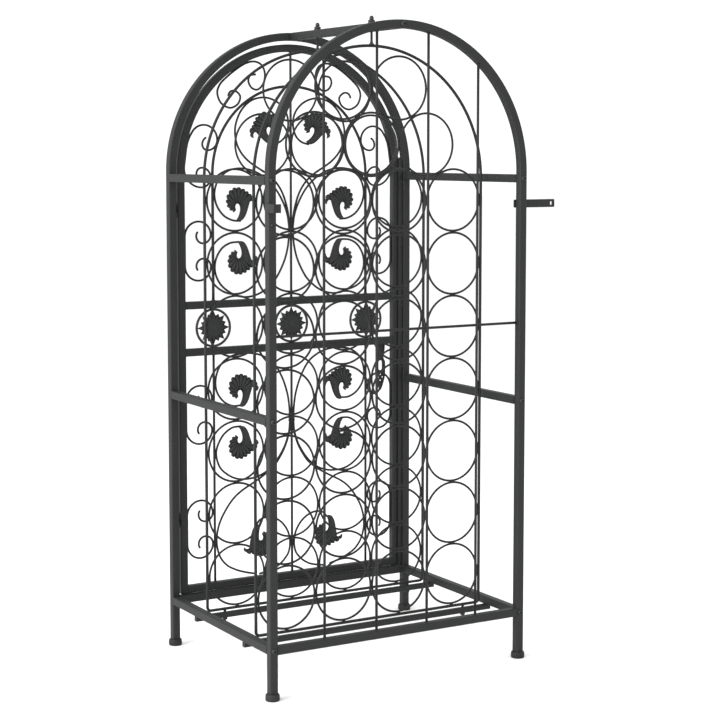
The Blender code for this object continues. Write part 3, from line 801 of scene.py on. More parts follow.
CLAMP = 0.1705          # from the middle of the panel to each clamp screw
STEM = 0.0020           # half of a stem's thickness
for end, y in PANELS.items():
    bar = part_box(f"{end}_cross_bar")[0].z
    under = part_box(f"{end}_panel_wire")[0].z
    whole = bmesh.new()
    for x in (-CLAMP, CLAMP):
        gather(whole, threaded(x, y, bar - 0.0058, under + 0.0006, STEM))
        gather(whole, hexagon_nut((x, y, bar - 0.0034), 0.0040, 0.0032))
        gather(whole, fillet((x, y, under + 0.0008), (0, 0, -1), 0.0019, 0.0034, 0.0030))
    finished(f"{end}_clamp_screws", whole, "rack", STEEL)

    low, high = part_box(f"{end}_hanging_stud")
    seat = RIDGE + TUBE / 2
    whole = bmesh.new()
    gather(whole, threaded(0, y, low.z - 0.0012, seat + 0.0062, STEM))
    gather(whole, fillet((0, y, low.z - 0.0006), (0, 0, 1), STEM, 0.0042, 0.0046))
    washer = [(0, 0), (0.0058, 0), (0.0058, 0.0007), (0.0052, 0.0010), (0, 0.0010)]
    gather(whole, turned(washer, (0, y, seat)))
    gather(whole, hexagon_nut((0, y, seat + 0.0010), 0.0053, 0.0040))
    top = high.z - seat
    ball = [(0, 0.0045), (0.0026, 0.0045), (0.0032, 0.0052), (0.0034, 0.0066), (0.0033, top - 0.0032),
            (0.0029, top - 0.0017), (0.0019, top - 0.0006), (0.0008, top - 0.0001), (0, top)]
    gather(whole, turned(ball, (0, y, seat)))
    finished(f"{end}_stud_and_nut", whole, "rack", STEEL, f"{end}_hanging_stud")
print("studs reach", round(high.z, 4), "m")

# %% [markdown]
# Two small brackets tie the rack to a wall so that it can't tip: a flat strip with a
# rounded slot beside one rear post, and an angle on the other. The strip is drawn as
# flat loops, an edge and its hole; `triangle_fill` fills between them, extruding
# gives the thickness, and a fine bevel breaks the rim. The angle starts as the foot
# of its long leg, drawn up to its height, and the short leg grows out of that.

# %% Plates and wall brackets
def rounded(cx, cz, half_x, half_z, radius, steps=5):
    """Stops round a rectangle with round corners, in x and z."""
    stops = []
    for quarter, (sx, sz) in enumerate(((1, 1), (-1, 1), (-1, -1), (1, -1))):
        for i in range(steps + 1):
            a = math.radians(90 * (quarter + i / steps))
            stops.append((cx + sx * (half_x - radius) + radius * math.cos(a),
                          cz + sz * (half_z - radius) + radius * math.sin(a)))
    return stops


def plate(loops, y_low, y_high, rim=0.0003):
    """Flat plate between two depths; the first loop is its edge and the others are holes."""
    bm = bmesh.new()
    edges = []
    for loop in loops:
        verts = [bm.verts.new((x, y_low, z)) for x, z in loop]
        edges += [bm.edges.new((verts[i - 1], verts[i])) for i in range(len(verts))]
    bmesh.ops.triangle_fill(bm, use_beauty=True, use_dissolve=False, edges=edges)
    grown = bmesh.ops.extrude_face_region(bm, geom=bm.faces[:], use_keep_orig=True)["geom"]
    bmesh.ops.translate(bm, verts=only(POINT, grown), vec=(0, y_high - y_low, 0))
    bmesh.ops.recalc_face_normals(bm, faces=bm.faces[:])
    corners = [e for e in folds(bm, 60) if abs(e.verts[0].co.y - e.verts[1].co.y) < 1e-6]
    soften(bm, corners, rim)
    crisp(folds(bm, 28))
    return bm


middle, size = spot("wall_bracket_right")
strip = rounded(middle.x, middle.z, size.x / 2, size.z / 2, 0.0018)
slot = rounded(middle.x - size.x / 2 + 0.0066, middle.z, 0.0017, 0.0030, 0.00165)
finished("wall_strip", plate([strip, slot], middle.y - size.y / 2, middle.y + size.y / 2),
         "rack", COAT, "wall_bracket_right")

SHEET = 0.0015          # thickness of the angle
low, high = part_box("wall_bracket_left")
inner_x, inner_y = high.x - SHEET, high.y - SHEET
bm = bmesh.new()
bmesh.ops.create_grid(bm, x_segments=1, y_segments=1, size=0.5)
footprint = Matrix.Diagonal((SHEET, high.y - low.y, 1, 1))
put(bm, shift(high.x - SHEET / 2, (low.y + high.y) / 2, low.z) @ footprint)
grown = bmesh.ops.extrude_face_region(bm, geom=bm.faces[:], use_keep_orig=True)["geom"]
bmesh.ops.translate(bm, vec=(0, 0, high.z - low.z), verts=only(POINT, grown))
bmesh.ops.bisect_plane(bm, geom=bm.verts[:] + bm.edges[:] + bm.faces[:], dist=1e-7,
                       plane_co=(0, inner_y, 0), plane_no=(0, 1, 0))
bmesh.ops.recalc_face_normals(bm, faces=bm.faces[:])
inner = [f for f in bm.faces if f.normal.x < -0.9 and f.calc_center_median().y > inner_y]
grown = bmesh.ops.extrude_face_region(bm, geom=inner)["geom"]
bmesh.ops.translate(bm, vec=(low.x - inner_x, 0, 0), verts=only(POINT, grown))
bmesh.ops.delete(bm, geom=[f for f in inner if f.is_valid], context="FACES_ONLY")
soften(bm, folds(bm, 60), 0.0004)
finished("wall_angle", bm, "rack", COAT, "wall_bracket_left")
print("strip", [round(s, 4) for s in size], "angle", [round(s, 4) for s in high - low])

# %% [markdown]
# The door is a smaller arch of the same kind, hung inside the front frame. Its tube
# is walked just as the big ones were. A bottom rail closes it and two bars cross
# it at half height, with the three suns between them.

# %% Door frame
finished("door_arch", arch(DOOR_Y, DOOR_FOOT, DOOR_RADIUS, DOOR_TUBE), "door", COAT, "door_arch_tube")
straight("door_bottom_rail", "door_foot_rail", "door")
straight("door_bar_lower", "door_lower_bar", "door")
straight("door_bar_upper", "door_upper_bar", "door")
print("door is", round(2 * DOOR_RADIUS + DOOR_TUBE, 4), "m wide")

# %% [markdown]
# Inside the door frame a thinner arched wire and a centre wire divide the opening.
# The scrolls are welded to these, so they come first. Their ends carry the same
# weld fillets as the guard wires, and a larger weld holds the top of the arched wire
# to the centre wire.

# %% Door wires
for label in ("lower", "mid", "top"):
    upright(f"door_centre_wire_{label}", f"door_spine_{label}", "door")
for side in ("left", "right"):
    upright(f"door_inner_leg_{side}", f"door_inner_upright_{side}", "door")
low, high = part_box("door_inner_arch_wire")
INNER = high.x - THICK
INNER_SPRING = high.z - THICK - INNER
leg = INNER_SPRING - low.z
line = Walk(-INNER, DOOR_Y, low.z - BITE).on(leg, 10).bend(INNER, 180, 64).on(leg, 10)
whole = bmesh.new()
gather(whole, wire(line.places, THICK, 12))
for side in (-1, 1):
    gather(whole, fillet((side * INNER, DOOR_Y, low.z), (0, 0, 1), THICK))
gather(whole, lump(0, DOOR_Y, high.z - THICK, 0.0042, 0.0028, 0.0024))
finished("door_inner_arch", whole, "door", WIRE_COAT, "door_inner_arch_wire")
print("inner arch radius", round(INNER, 4), "springs at", round(INNER_SPRING, 4))

# %% [markdown]
# Small C-scrolls fill the strip between the inner wire and the door's tube. A smith
# bends such a scroll from one short bar: a straight back that is welded to the tube,
# then tighter and tighter bends until the tip curls in on itself. Two walks start
# at the middle of the back, one up and one down, so each half can have its own bends.
# The one by the crown follows no plain bends, so it is a smooth line through stops.

# %% Small scrolls along the stiles
SCROLL = 0.0015         # half of the bare scroll wire's thickness
STILE = DOOR_RADIUS - DOOR_TUBE / 2


def half_scroll(z, x, heading, run, bends):
    """One half of a C-scroll from the middle of its back; bends are (radius, degrees)."""
    line = Walk(x, DOOR_Y, z, heading).on(run, 4)
    for radius, degrees in bends:
        line.bend(radius, degrees, max(3, round(abs(degrees) / 9)))
    return line.places


def c_scroll(z, x, top, foot, lean=0.0):
    """Both halves of a scroll whose back leans, swept as one wire."""
    up = half_scroll(z, x, -lean, top[0], [(r, -d) for r, d in top[1:]])
    down = half_scroll(z, x, 180 - lean, foot[0], foot[1:])
    return [p @ turn_by(180) for p in reversed(down[1:])] + up


def in_metres(stops):
    return [tuple(value / 1000 for value in stop) for stop in stops]


def mirrored(bm):
    """The same on the other side of the door."""
    put(bm, Matrix.Scale(-1, 4, (1, 0, 0)))


EVEN = [0.0235, (0.0240, 90), (0.0217, 90), (0.0135, 90), (0.0120, 90), (0.0100, 35)]
SPRING_TOP = [0.012, (0.060, 30), (0.024, 52), (0.0235, 90), (0.017, 90), (0.0095, 90), (0.012, 60)]
SPRING_FOOT = [0.0155, (0.0305, 98), (0.0160, 90), (0.0155, 90), (0.0095, 90), (0.0100, 40)]
SCROLL_ROWS = [0.6360, 0.3708, 0.1830]
BACK_WELD, LEG_WELD = 0.012, 0.0255     # from a scroll's middle to its welds on stile and inner wire
CROWN_STOPS = [
    (64.8, 919.5), (74.0, 917.5), (77.2, 908.1), (71.2, 897.9), (60.1, 895.4), (49.7, 906.0), (47.2, 922.0),
    (53.0, 935.0), (66.0, 940.3), (82.0, 937.0), (100.0, 926.5), (117.0, 913.5), (128.5, 902.0),
    (133.0, 888.7), (126.6, 872.9), (110.7, 865.2), (96.5, 871.5), (92.0, 884.3), (101.0, 892.6),
    (110.0, 891.3), (113.5, 885.2)]
for name in ("left", "right"):
    whole = bmesh.new()
    lines = [c_scroll(z, STILE - SCROLL, EVEN, EVEN) for z in SCROLL_ROWS]
    lines.append(c_scroll(0.788, 0.1900, SPRING_TOP, SPRING_FOOT, lean=8))
    lines.append(through(in_metres(CROWN_STOPS), DOOR_Y))
    for places in lines:
        gather(whole, wire(places, SCROLL, tips=(True, True)))
    for z in SCROLL_ROWS:
        for dz in (-BACK_WELD, BACK_WELD):
            gather(whole, tilted_lump(STILE - 0.0008, DOOR_Y, z + dz, 90, 0.0046, 0.0014, 0.0019))
        for dz in (-LEG_WELD, LEG_WELD):
            gather(whole, tilted_lump(INNER + 0.0022, DOOR_Y, z + dz, 90, 0.0036, 0.0016, 0.0017))
    if name == "right":
        mirrored(whole)
    piece = finished(f"small_scrolls_{name}", whole, "door", WIRE_COAT)
print("small scrolls:", len(piece.data.polygons), "faces a side")

# %% [markdown]
# The large scrolls start at the centre wire, in bundles of two or three that are
# welded together there, open outwards and wind round to the stem of a leaf. They
# are free curves, not plain bends, so each one is a smooth line through a few stops.
# The stops are for the left side in millimetres; the right side is the mirror image.

# %% Large scrolls
LARGE = {
    "crown": [
        (33, 807), (20, 811), (9.5, 821), (4.6, 838), (7.5, 857), (20, 872.5), (37, 881), (55, 882.5),
        (75, 876), (92, 859), (101.3, 835), (100, 812), (91.5, 794), (78, 780), (62, 769.5), (45, 759.5),
        (28.5, 746), (16, 728), (8, 706), (4.2, 686), (3.6, 664)],
    "upper": [
        (93.5, 683), (108, 684.5), (124, 693), (136, 710), (139.2, 730), (132, 750.5), (116, 763.5),
        (98, 768), (79, 766.5), (60, 760), (42, 748), (27, 732.5), (14.5, 712), (6.8, 692), (3.6, 672)],
    "upper_drop": [
        (96, 649), (112, 647.5), (127, 639), (137.5, 622), (139.2, 602), (131, 583), (116, 569.5),
        (97, 560.5), (77, 559), (57, 564.5), (41, 575), (26.5, 590), (13, 615), (6.2, 638), (3.6, 660)],
    "lower": [
        (95, 381), (110, 381.5), (126, 390), (137.8, 407), (139.4, 428), (131, 449), (113, 462.3),
        (90, 466.4), (68, 464.8), (48, 457.5), (31, 444.5), (17, 421), (8, 395), (4.4, 372), (3.6, 352),
        (3.5, 334)],
    "lower_drop": [
        (95, 346.5), (111, 345), (127, 334), (137.5, 316), (139.2, 300), (132.5, 281), (117, 267),
        (100, 259.5), (80, 258), (62, 261), (44, 269.5), (28.5, 284), (15, 304), (8.2, 320), (4.6, 334),
        (3.8, 345)],
    "belly": [
        (3.8, 341), (5.0, 329), (9.8, 313), (17.5, 297), (30, 279), (45, 266.5), (59, 257.5), (76, 248.5),
        (94, 239), (109, 227.5), (123, 210), (134, 190), (139.2, 170), (139.2, 152), (133.5, 133),
        (121.5, 118), (105, 108.5), (88, 102.3), (73, 98.4)],
    "foot": [
        (66.5, 180), (60.5, 187), (50, 190.3), (40, 189.8), (28, 185), (17, 176), (8.5, 163.5), (4.4, 150),
        (4.2, 138), (6.5, 127), (12, 118.5), (22, 109), (35, 102), (50, 98.2), (61, 96.6)],
}
AT_SPINE, AT_LEG = 0.0040, 0.1405       # how far out a scroll touches the centre wire and the inner wire
TOUCHES = [(AT_SPINE, z, 90) for z in (0.668, 0.655, 0.350, 0.334, 0.146)]
TOUCHES += [(AT_LEG, z, 90) for z in (0.728, 0.604, 0.424, 0.302, 0.160)]
TOUCHES += [(0.0520, 0.7635, 35)]
for name in ("left", "right"):
    whole = bmesh.new()
    for stops in LARGE.values():
        gather(whole, wire(through(in_metres(stops), DOOR_Y), SCROLL, tips=(True, True)))
    for x, z, angle in TOUCHES:
        gather(whole, tilted_lump(x, DOOR_Y, z, angle, 0.0048, 0.0019, 0.0019))
    if name == "right":
        mirrored(whole)
    piece = finished(f"large_scrolls_{name}", whole, "door", WIRE_COAT)
print("large scrolls:", len(LARGE), "a side,", len(piece.data.polygons), "faces a side")

# %% [markdown]
# Twelve cast leaves hang on the ends of the large scrolls. Each is an acanthus leaf
# curled over on itself: a stem, a fan of ten rounded lobes round a small eye, and
# a flick of three lobes behind. A flat grid is laid between two smooth lines, the
# inner edge round the eye and the outer edge round the lobes, and its points are
# then lifted: high along the middle, with a ridge running out to every lobe. The
# back is the front mirrored, so the casting is closed and solid.

# %% One blade of a leaf
def along_line(stops, t):
    """Point at t, from 0 to 1, on a smooth line through the stops."""
    last = len(stops) - 1
    t = min(max(t, 0.0), 1.0) * last
    i = min(int(t), last - 1)
    f = t - i
    b, c = Vector(stops[i]), Vector(stops[i + 1])
    a = Vector(stops[i - 1]) if i else 2 * b - c
    d = Vector(stops[i + 2]) if i + 2 <= last else 2 * c - b
    return smooth_line(a, b, c, d, f)


def close_back(bm, rim, merge):
    """Drop the rim of a raised front to the middle plane, and mirror the front behind it."""
    for v in only(POINT, bmesh.ops.extrude_edge_only(bm, edges=rim)["geom"]):
        v.co.y = 0.0
    bmesh.ops.mirror(bm, geom=bm.verts[:] + bm.edges[:] + bm.faces[:], axis="Y", merge_dist=merge)


def blade(inner, outer, lobes, start, steps, across, rise, scallop):
    """Closed blade between two lines, in millimetres, with lobes from start on."""
    bm = bmesh.new()
    painted_lightness = bm.verts.layers.float.new("painted_lightness")
    bmesh.ops.create_grid(bm, x_segments=steps, y_segments=across, size=0.5)
    for v in bm.verts:
        t, s = v.co.x + 0.5, v.co.y + 0.5
        near, far = along_line(inner, t), along_line(outer, t)
        phase = max(0.0, (t - start) / (1 - start)) * lobes
        bulge = abs(math.sin(math.pi * phase)) ** 0.6 if t > start else 0.55
        far = far + (far - near).normalized() * scallop * (bulge - 0.6)
        point = near.lerp(far, s)
        ends = min(1.0, t / 0.05, (1 - t) / 0.05) ** 0.5
        body = rise * math.sin(math.pi * min(1.0, 0.08 + s * 0.90)) ** 0.75
        ridge = rise * 0.85 * (bulge - 0.5) * min(1.0, s * 1.6)
        height = 0.55 + (body + ridge) * (0.35 + 0.65 * ends)
        # painted shade and light: near 0 between lobes and at the rims, near 1 along the lobe ridges
        lobe = bulge if t > start else 0.85
        v[painted_lightness] = lobe * (0.12 + 0.88 * math.sin(math.pi * min(max(s, 0.0), 1.0)) ** 0.6)
        v.co = Vector((point.x, max(0.3, height), point.y)) * 0.001
    close_back(bm, [e for e in bm.edges if e.is_boundary], 1e-5)
    return bm


OUTER = [(4.4, -28.9), (1.0, -29.3), (-3.8, -27.4), (-8.4, -21.8), (-11.8, -14.4), (-14.4, -6.4),
         (-16.8, 1.2), (-17.6, 8.6), (-14.8, 15.0), (-9.0, 19.6), (-2.0, 23.0), (6.0, 24.6), (14.0, 22.4),
         (20.4, 17.0), (23.8, 9.0), (24.2, 1.0), (21.8, -6.2), (17.0, -11.4), (11.6, -14.2)]
INSIDE = [(6.8, -27.0), (5.0, -24.8), (3.1, -21.6), (1.6, -17.8), (0.5, -13.8), (0.0, -9.8), (0.4, -6.2),
          (1.6, -3.3), (3.0, -1.9), (4.4, -1.2), (5.7, -1.0), (6.9, -1.2), (8.0, -1.8), (8.9, -2.8),
          (9.5, -4.1), (9.8, -5.6), (9.7, -7.3), (9.1, -9.2), (8.2, -11.2)]
FLICK_IN = [(-11.0, -6.0), (-15.5, 0.4), (-19.0, 2.6), (-22.0, 2.0), (-24.2, -0.6), (-25.6, -4.6)]
FLICK_OUT = [(-11.0, 12.0), (-17.0, 14.0), (-22.6, 11.6), (-26.6, 6.8), (-28.0, 1.2), (-26.4, -4.7)]


def leaf(flick_turn):
    """One leaf, with its flick turned about its root by some degrees."""
    bm = bmesh.new()
    gather(bm, blade(INSIDE, OUTER, 10.5, 0.38, 132, 8, 2.5, 3.3))
    tail = blade(FLICK_IN, FLICK_OUT, 3.0, 0.0, 30, 6, 1.7, 2.0)
    root = shift(-0.011, 0, 0.003)
    put(tail, root @ turn_by(-flick_turn) @ root.inverted())
    gather(bm, tail)
    return bm


bm = leaf(0)
print("one leaf has", len(bm.faces), "faces")
bm.free()

# %% [markdown]
# The casting is put in its places. Each place gives the middle of the eye, whether
# the leaf is turned over sideways or upside down, how far it is rotated, and how far
# its side flick is bent round. The leaves by the crown and the foot of the door face
# the other way from the four between them. A leaf that is turned over comes out
# inside out, and the normals are recalculated when the piece is finished.

# %% Leaves on the door
LEAVES = [(0.0402, 0.8290, -1, 1, 28, 0), (0.0978, 0.7052, 1, 1, 0, 0), (0.0957, 0.6282, 1, -1, 0, 0),
          (0.0955, 0.4005, 1, 1, 0, 0), (0.0962, 0.3248, 1, -1, 0, 0)]
EYE_TO_ORIGIN = shift(-0.005, 0, 0.007)
LOWEST = {"left": (0.0590, 0.1580, -1, -1, -8, -26), "right": (0.0655, 0.1600, -1, -1, -8, -26)}
for name, side in (("left", 1), ("right", -1)):
    whole = bmesh.new()
    for x, z, over, down, turn, flick_turn in LEAVES + [LOWEST[name]]:
        part = leaf(flick_turn)
        flip = Matrix.Diagonal((side * over, 1, down, 1))
        put(part, shift(side * x, DOOR_Y, z) @ flip @ turn_by(-turn) @ EYE_TO_ORIGIN)
        gather(whole, part)
    piece = finished(f"acanthus_leaves_{name}", whole, "door", CAST)
print("leaves:", 2 * len(LEAVES) + 2, "with", len(piece.data.polygons), "faces a side")

# %% [markdown]
# Three suns stand between the door's two cross bars. Each is a flat cast star of
# sixteen points inside a wire ring; four long points reach the ring and hold it, and
# the four between them on the diagonals are nearly as long. The star's outline is a
# circle of thirty-two points with every other one moved out. It is bridged to a
# smaller raised circle, so the rays run up into the middle.

# %% Suns
VALLEY = 0.0196         # how far out the outline comes between two points


def point_number(v):
    return round(math.degrees(math.atan2(v.co.z, v.co.x)) / 11.25)


def star(x, z, ring_inside):
    """Star cast in one piece; its points are counted round from +X."""
    reach = {0: ring_inside + 0.0006, 4: 0.0274, 2: 0.0238, 6: 0.0238}
    bm = bmesh.new()
    painted_lightness = bm.verts.layers.float.new("painted_lightness")
    face_on = turn_by(90, "X")
    outline = bmesh.ops.create_circle(bm, cap_ends=False, radius=1.0, segments=32, matrix=face_on)["verts"]
    rim = bm.edges[:]
    for v in outline:
        count = point_number(v)
        # painted shade in the valleys between points, painted light on the points
        v[painted_lightness] = 0.1 if count % 2 else 1.0
        v.co = v.co * reach.get(count % 8, VALLEY)
        v.co.y = -0.0009
    inner = bmesh.ops.create_circle(bm, cap_ends=False, radius=0.0150, segments=32, matrix=face_on)["verts"]
    for v in inner:
        odd = point_number(v) % 2
        # painted shade between the rays round the middle, painted light on the rays
        v[painted_lightness] = 0.3 if odd else 0.9
        v.co.y = -0.0018 if odd else -0.0026
    middle = [e for e in bm.edges if e.verts[0] in inner and e.verts[1] in inner]
    bmesh.ops.bridge_loops(bm, edges=rim + middle)
    cap = bmesh.ops.holes_fill(bm, edges=middle, sides=0)["faces"]
    # the raised middle gets a fairly light painted value
    for thick, depth in ((0.0035, 0.0004), (0.0050, 0.0003)):
        bmesh.ops.inset_region(bm, faces=cap, thickness=thick, depth=0.0)
        for v in cap[0].verts:
            v.co.y -= depth
            v[painted_lightness] = 0.75
    close_back(bm, rim, 1e-6)
    put(bm, shift(x, DOOR_Y, z))
    return bm


SUN_WIRE = 0.0018       # half of the bare ring wire's thickness
for side in ("left", "centre", "right"):
    middle, size = spot(f"sun_rosette_{side}")
    across = size.x / 2
    whole = bmesh.new()
    whole.verts.layers.float.new("painted_lightness")
    gather(whole, star(middle.x, middle.z, across - 2 * SUN_WIRE))
    gather(whole, ring(middle.x, DOOR_Y, middle.z, across - SUN_WIRE, SUN_WIRE, 56, 10))
    painted_lightness = whole.verts.layers.float["painted_lightness"]
    # the wire ring and the star's outer tips get an even, fairly light painted value
    for v in whole.verts:
        if math.hypot(v.co.x - middle.x, v.co.z - middle.z) > across - 2 * SUN_WIRE - 0.0002:
            v[painted_lightness] = 0.8
    for z in (middle.z - across + BITE, middle.z + across - BITE):
        gather(whole, tilted_lump(middle.x, DOOR_Y, z, 0, 0.0042, 0.0014, 0.0019))
    piece = finished(f"sun_{side}", whole, "door", CAST, f"sun_rosette_{side}")
print("sun ring", round(size.x, 4), "m across,", len(piece.data.polygons), "faces")

# %% [markdown]
# The door hangs on two lift-off hinges. A short barrel with a pin is welded to the
# door and drops into an eye welded to the post. Both are turned; the eye's outline
# closes on itself, so spinning it leaves a bore. A small tab joins the eye to the
# post, and weld lumps sit along the barrel.

# %% Hinges
PIN, BORE = 0.00132, 0.00142            # half of the pin's thickness, and half of the bore's
BARREL = 0.012                          # length of the barrel above its pin
for label in ("lower", "upper"):
    low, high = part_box(f"hinge_barrel_{label}")
    x, y, r = (low.x + high.x) / 2, (low.y + high.y) / 2, (high.x - low.x) / 2
    step = high.z - BARREL
    outline = [(0, low.z), (0.0009, low.z), (PIN, low.z + 0.0007), (PIN, step), (r - 0.0005, step),
               (r, step + 0.0005), (r, high.z - 0.0007), (r - 0.0006, high.z), (0, high.z)]
    whole = turned(outline, (x, y, 0), steps=28)
    for up in (0.003, 0.009):
        gather(whole, tilted_lump(x - r - 0.0001, y + 0.0002, step + up, 90, 0.0034, 0.0011, 0.0019))
    finished(f"hinge_pin_{label}", whole, "door", STEEL, f"hinge_barrel_{label}")

    low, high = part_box(f"hinge_eye_{label}")
    outline = [(BORE, low.z), (r - 0.0004, low.z), (r, low.z + 0.0004), (r, high.z - 0.0004),
               (r - 0.0004, high.z), (BORE, high.z), (BORE, low.z)]
    whole = turned(outline, (x, y, 0), steps=28)
    from_x, from_y = x - 0.0009, y + 0.0018
    place = shift((from_x + high.x) / 2, (from_y + high.y) / 2, (low.z + high.z) / 2)
    tab = bmesh.new()
    bmesh.ops.create_cube(tab, size=1.0, matrix=place @ Matrix.Diagonal(
        (high.x - from_x, high.y - from_y, high.z - low.z - 0.0002, 1)))
    soften(tab, tab.edges[:], 0.0004)
    gather(whole, tab)
    finished(f"hinge_eye_ring_{label}", whole, "rack", STEEL, f"hinge_eye_{label}")
print("hinge barrels", round(2 * r, 4), "m across")

# %% [markdown]
# A hasp keeps the door shut: a thin pointed plate swivels on a screw in the door's
# lower bar, and its slot drops over a staple on the post. The plate is drawn as
# flat loops like the wall strip, with four small pierced holes under the slot.
# The staple is a bent wire, walked out of the post, across and back in.

# %% Hasp, its screw and the staple
low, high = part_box("hasp_plate")
ABOVE_PIVOT = 0.0100    # from the pivot to the top of the node's box
PIVOT = Vector(((low.x + high.x) / 2, 0, high.z - ABOVE_PIVOT))
half = (high.x - low.x) / 2


def closed_line(stops, per_stop=4):
    """Smooth closed line through the stops, as points."""
    looped = [Vector(stop) for stop in stops[-1:] + stops + stops[:2]]
    points = []
    for a, b, c, d in zip(looped, looped[1:], looped[2:], looped[3:]):
        points += [smooth_line(a, b, c, d, i / per_stop) for i in range(per_stop)]
    return [(p.x, p.y) for p in points]


SIDE_STOPS = [(0.48, 5.5), (0.80, 3.4), (0.93, -1.0), (0.93, -9.0), (0.86, -18.0), (0.68, -24.5),
              (0.60, -28.8), (0.72, -32.6), (0.95, -37.0), (0.99, -44.0), (0.99, -56.0), (0.94, -62.0),
              (0.80, -68.5), (0.60, -75.0), (0.36, -81.2)]     # parts of the half width, and millimetres
outline = [(0.0, 6.1)] + SIDE_STOPS + [(0.0, -86.8)] + [(-a, b) for a, b in reversed(SIDE_STOPS)]
edge = closed_line([(PIVOT.x + a * half, PIVOT.z + b / 1000) for a, b in outline])
bore = rounded(PIVOT.x, PIVOT.z, 0.0021, 0.0021, 0.00209, 4)
slot = rounded(PIVOT.x, PIVOT.z - 0.0435, 0.0035, 0.0085, 0.0034, 5)
holes = [rounded(PIVOT.x + a, PIVOT.z - b, r, r, r * 0.99, 3) for a, b, r in
         ((0.0, 0.0585, 0.0019), (-0.0042, 0.0640, 0.0013), (0.0042, 0.0640, 0.0013), (0.0, 0.0695, 0.0014))]
finished("hasp_leaf", plate([edge, bore, slot] + holes, low.y, high.y, 0.00025), "hasp", STEEL, "hasp_plate")

low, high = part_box("hasp_screw")
head = high.y - low.y
seat = 0.0027
outline = [(0, 0), (0.0020, 0), (0.0020, head - seat), (0.0043, head - seat), (0.0046, head - seat + 0.0004),
           (0.0043, head - seat * 0.45), (0.0033, head - seat * 0.16), (0.0018, head - 0.0001),
           (0.0011, head - 0.0007), (0, head - 0.0008)]
screw = turned(outline, (PIVOT.x, high.y, PIVOT.z), (0, -1, 0), 28)
finished("hasp_pan_screw", screw, "door", STEEL, "hasp_screw")

STAPLE, KNEE = 0.0013, 0.0022           # half of its bare wire's thickness, and its bends
low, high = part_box("hasp_staple")
x, z = (low.x + high.x) / 2, (low.z + high.z) / 2
reach = high.y - low.y
span = (high.x - low.x) / 2 - STAPLE
leg = reach - STAPLE - KNEE
line = Walk(-span, 0, -0.0004).on(leg, 4).bend(KNEE, 90, 8).on(2 * span - 2 * KNEE, 4)
line.bend(KNEE, 90, 8).on(leg, 4)
turn = shift(x, high.y, z) @ turn_by(90, "X")
whole = wire([turn @ p for p in line.places], STAPLE, 12)
for side in (-1, 1):
    gather(whole, fillet((x + side * span, high.y, z), (0, -1, 0), STAPLE))
finished("staple", whole, "rack", STEEL, "hasp_staple")
print("hasp pivot", [round(v, 4) for v in PIVOT], "staple reach", round(reach, 4))

# %% [markdown]
# A door that only swings outwards still needs something to close against. A thin
# flat strip is welded along the inner face of the latch post, just behind the
# door's stile, and it also closes the view through the gap. It is a cube pulled out
# to the strip's size, with every edge softened and seven short welds along it.

# %% Door stop
STOP_GAP, STOP_SHEET = 0.0016, 0.0016   # clear space behind the stile, and the strip's thickness
STOP_LAP = 0.0028                       # how far the strip reaches behind the stile
post_face = -HALF_WIDTH + TUBE / 2
stile_face = -DOOR_RADIUS - DOOR_TUBE / 2
rear = DOOR_Y + DOOR_TUBE / 2
low = Vector((post_face - 0.0002, rear + STOP_GAP, DOOR_FOOT))
high = Vector((stile_face + STOP_LAP, rear + STOP_GAP + STOP_SHEET, SPRING + 0.022))
strip = bmesh.new()
bmesh.ops.create_cube(strip, size=1.0)
put(strip, Matrix.Translation((low + high) / 2) @ Matrix.Diagonal((*(high - low), 1)))
soften(strip, strip.edges[:], 0.0003)
for i in range(7):
    z = DOOR_FOOT + 0.03 + i * (SPRING - DOOR_FOOT - 0.05) / 6
    gather(strip, lump(post_face + 0.0004, high.y - 0.0001, z, 0.0022, 0.0050, 0.0014))
finished("door_stop_strip", strip, "rack", COAT)
print("stop strip", round(high.z - low.z, 3), "m long, clear of the stile by", STOP_GAP, "m")

# %% [markdown]
# The tube joints that are welded, and not bolted, show a thin bead: the bottom rails
# meet the posts, and the door's bars meet its stiles. A bead is a row of small
# overlapping lumps along the seam, as the welder left them before the powder. One
# seam is ground flat: the one the hasp sweeps over, on the front of the lower bar.

# %% Weld beads at the tube joints
def bead(whole, start, end, count=6, size=0.0011):
    """Add a row of lumps from one point to another."""
    for i in range(count):
        p = Vector(start).lerp(Vector(end), (i + 0.5) / count)
        gather(whole, lump(p.x, p.y, p.z, size, size, size))


POST = HALF_WIDTH - TUBE / 2
GROUND_FLAT = ("door_bar_lower", -1, -1)
for body, nodes, y_mid, x_end, tube in (
        ("rack", ["front_bottom_rail"], FRONT, POST, TUBE),
        ("rack", ["rear_bottom_rail"], REAR, POST, TUBE),
        ("door", ["door_bottom_rail", "door_bar_lower", "door_bar_upper"], DOOR_Y, STILE, DOOR_TUBE)):
    whole = bmesh.new()
    reach, face = tube / 2 - CORNER, tube / 2 - BITE
    for node in nodes:
        z_mid = spot(node)[0].z
        for side in (-1, 1):
            x = side * x_end
            for out in (-1, 1):
                y, z = y_mid + out * face, z_mid + out * face
                if (node, side, out) != GROUND_FLAT:
                    bead(whole, (x, y, z_mid - reach), (x, y, z_mid + reach))
                bead(whole, (x, y_mid - reach, z), (x, y_mid + reach, z))
    piece = finished(f"weld_beads_{nodes[0]}", whole, body, COAT)
print("weld beads:", len(piece.data.polygons), "faces on the door")

# %% [markdown]
# The rack stands on a plain pale studio floor. It is one large disc. A little slow
# variation keeps it from looking like paper.

# %% Floor
def studio_floor():
    f = Finish("pale_studio_floor", Roughness=0.85)
    drift = f.noise(1.3, 3.0, 0.5)
    colour = f.blend(drift.between(0.3, 0.7), (0.86, 0.86, 0.855), (0.89, 0.89, 0.885))
    return f.done(Base_Color=colour)


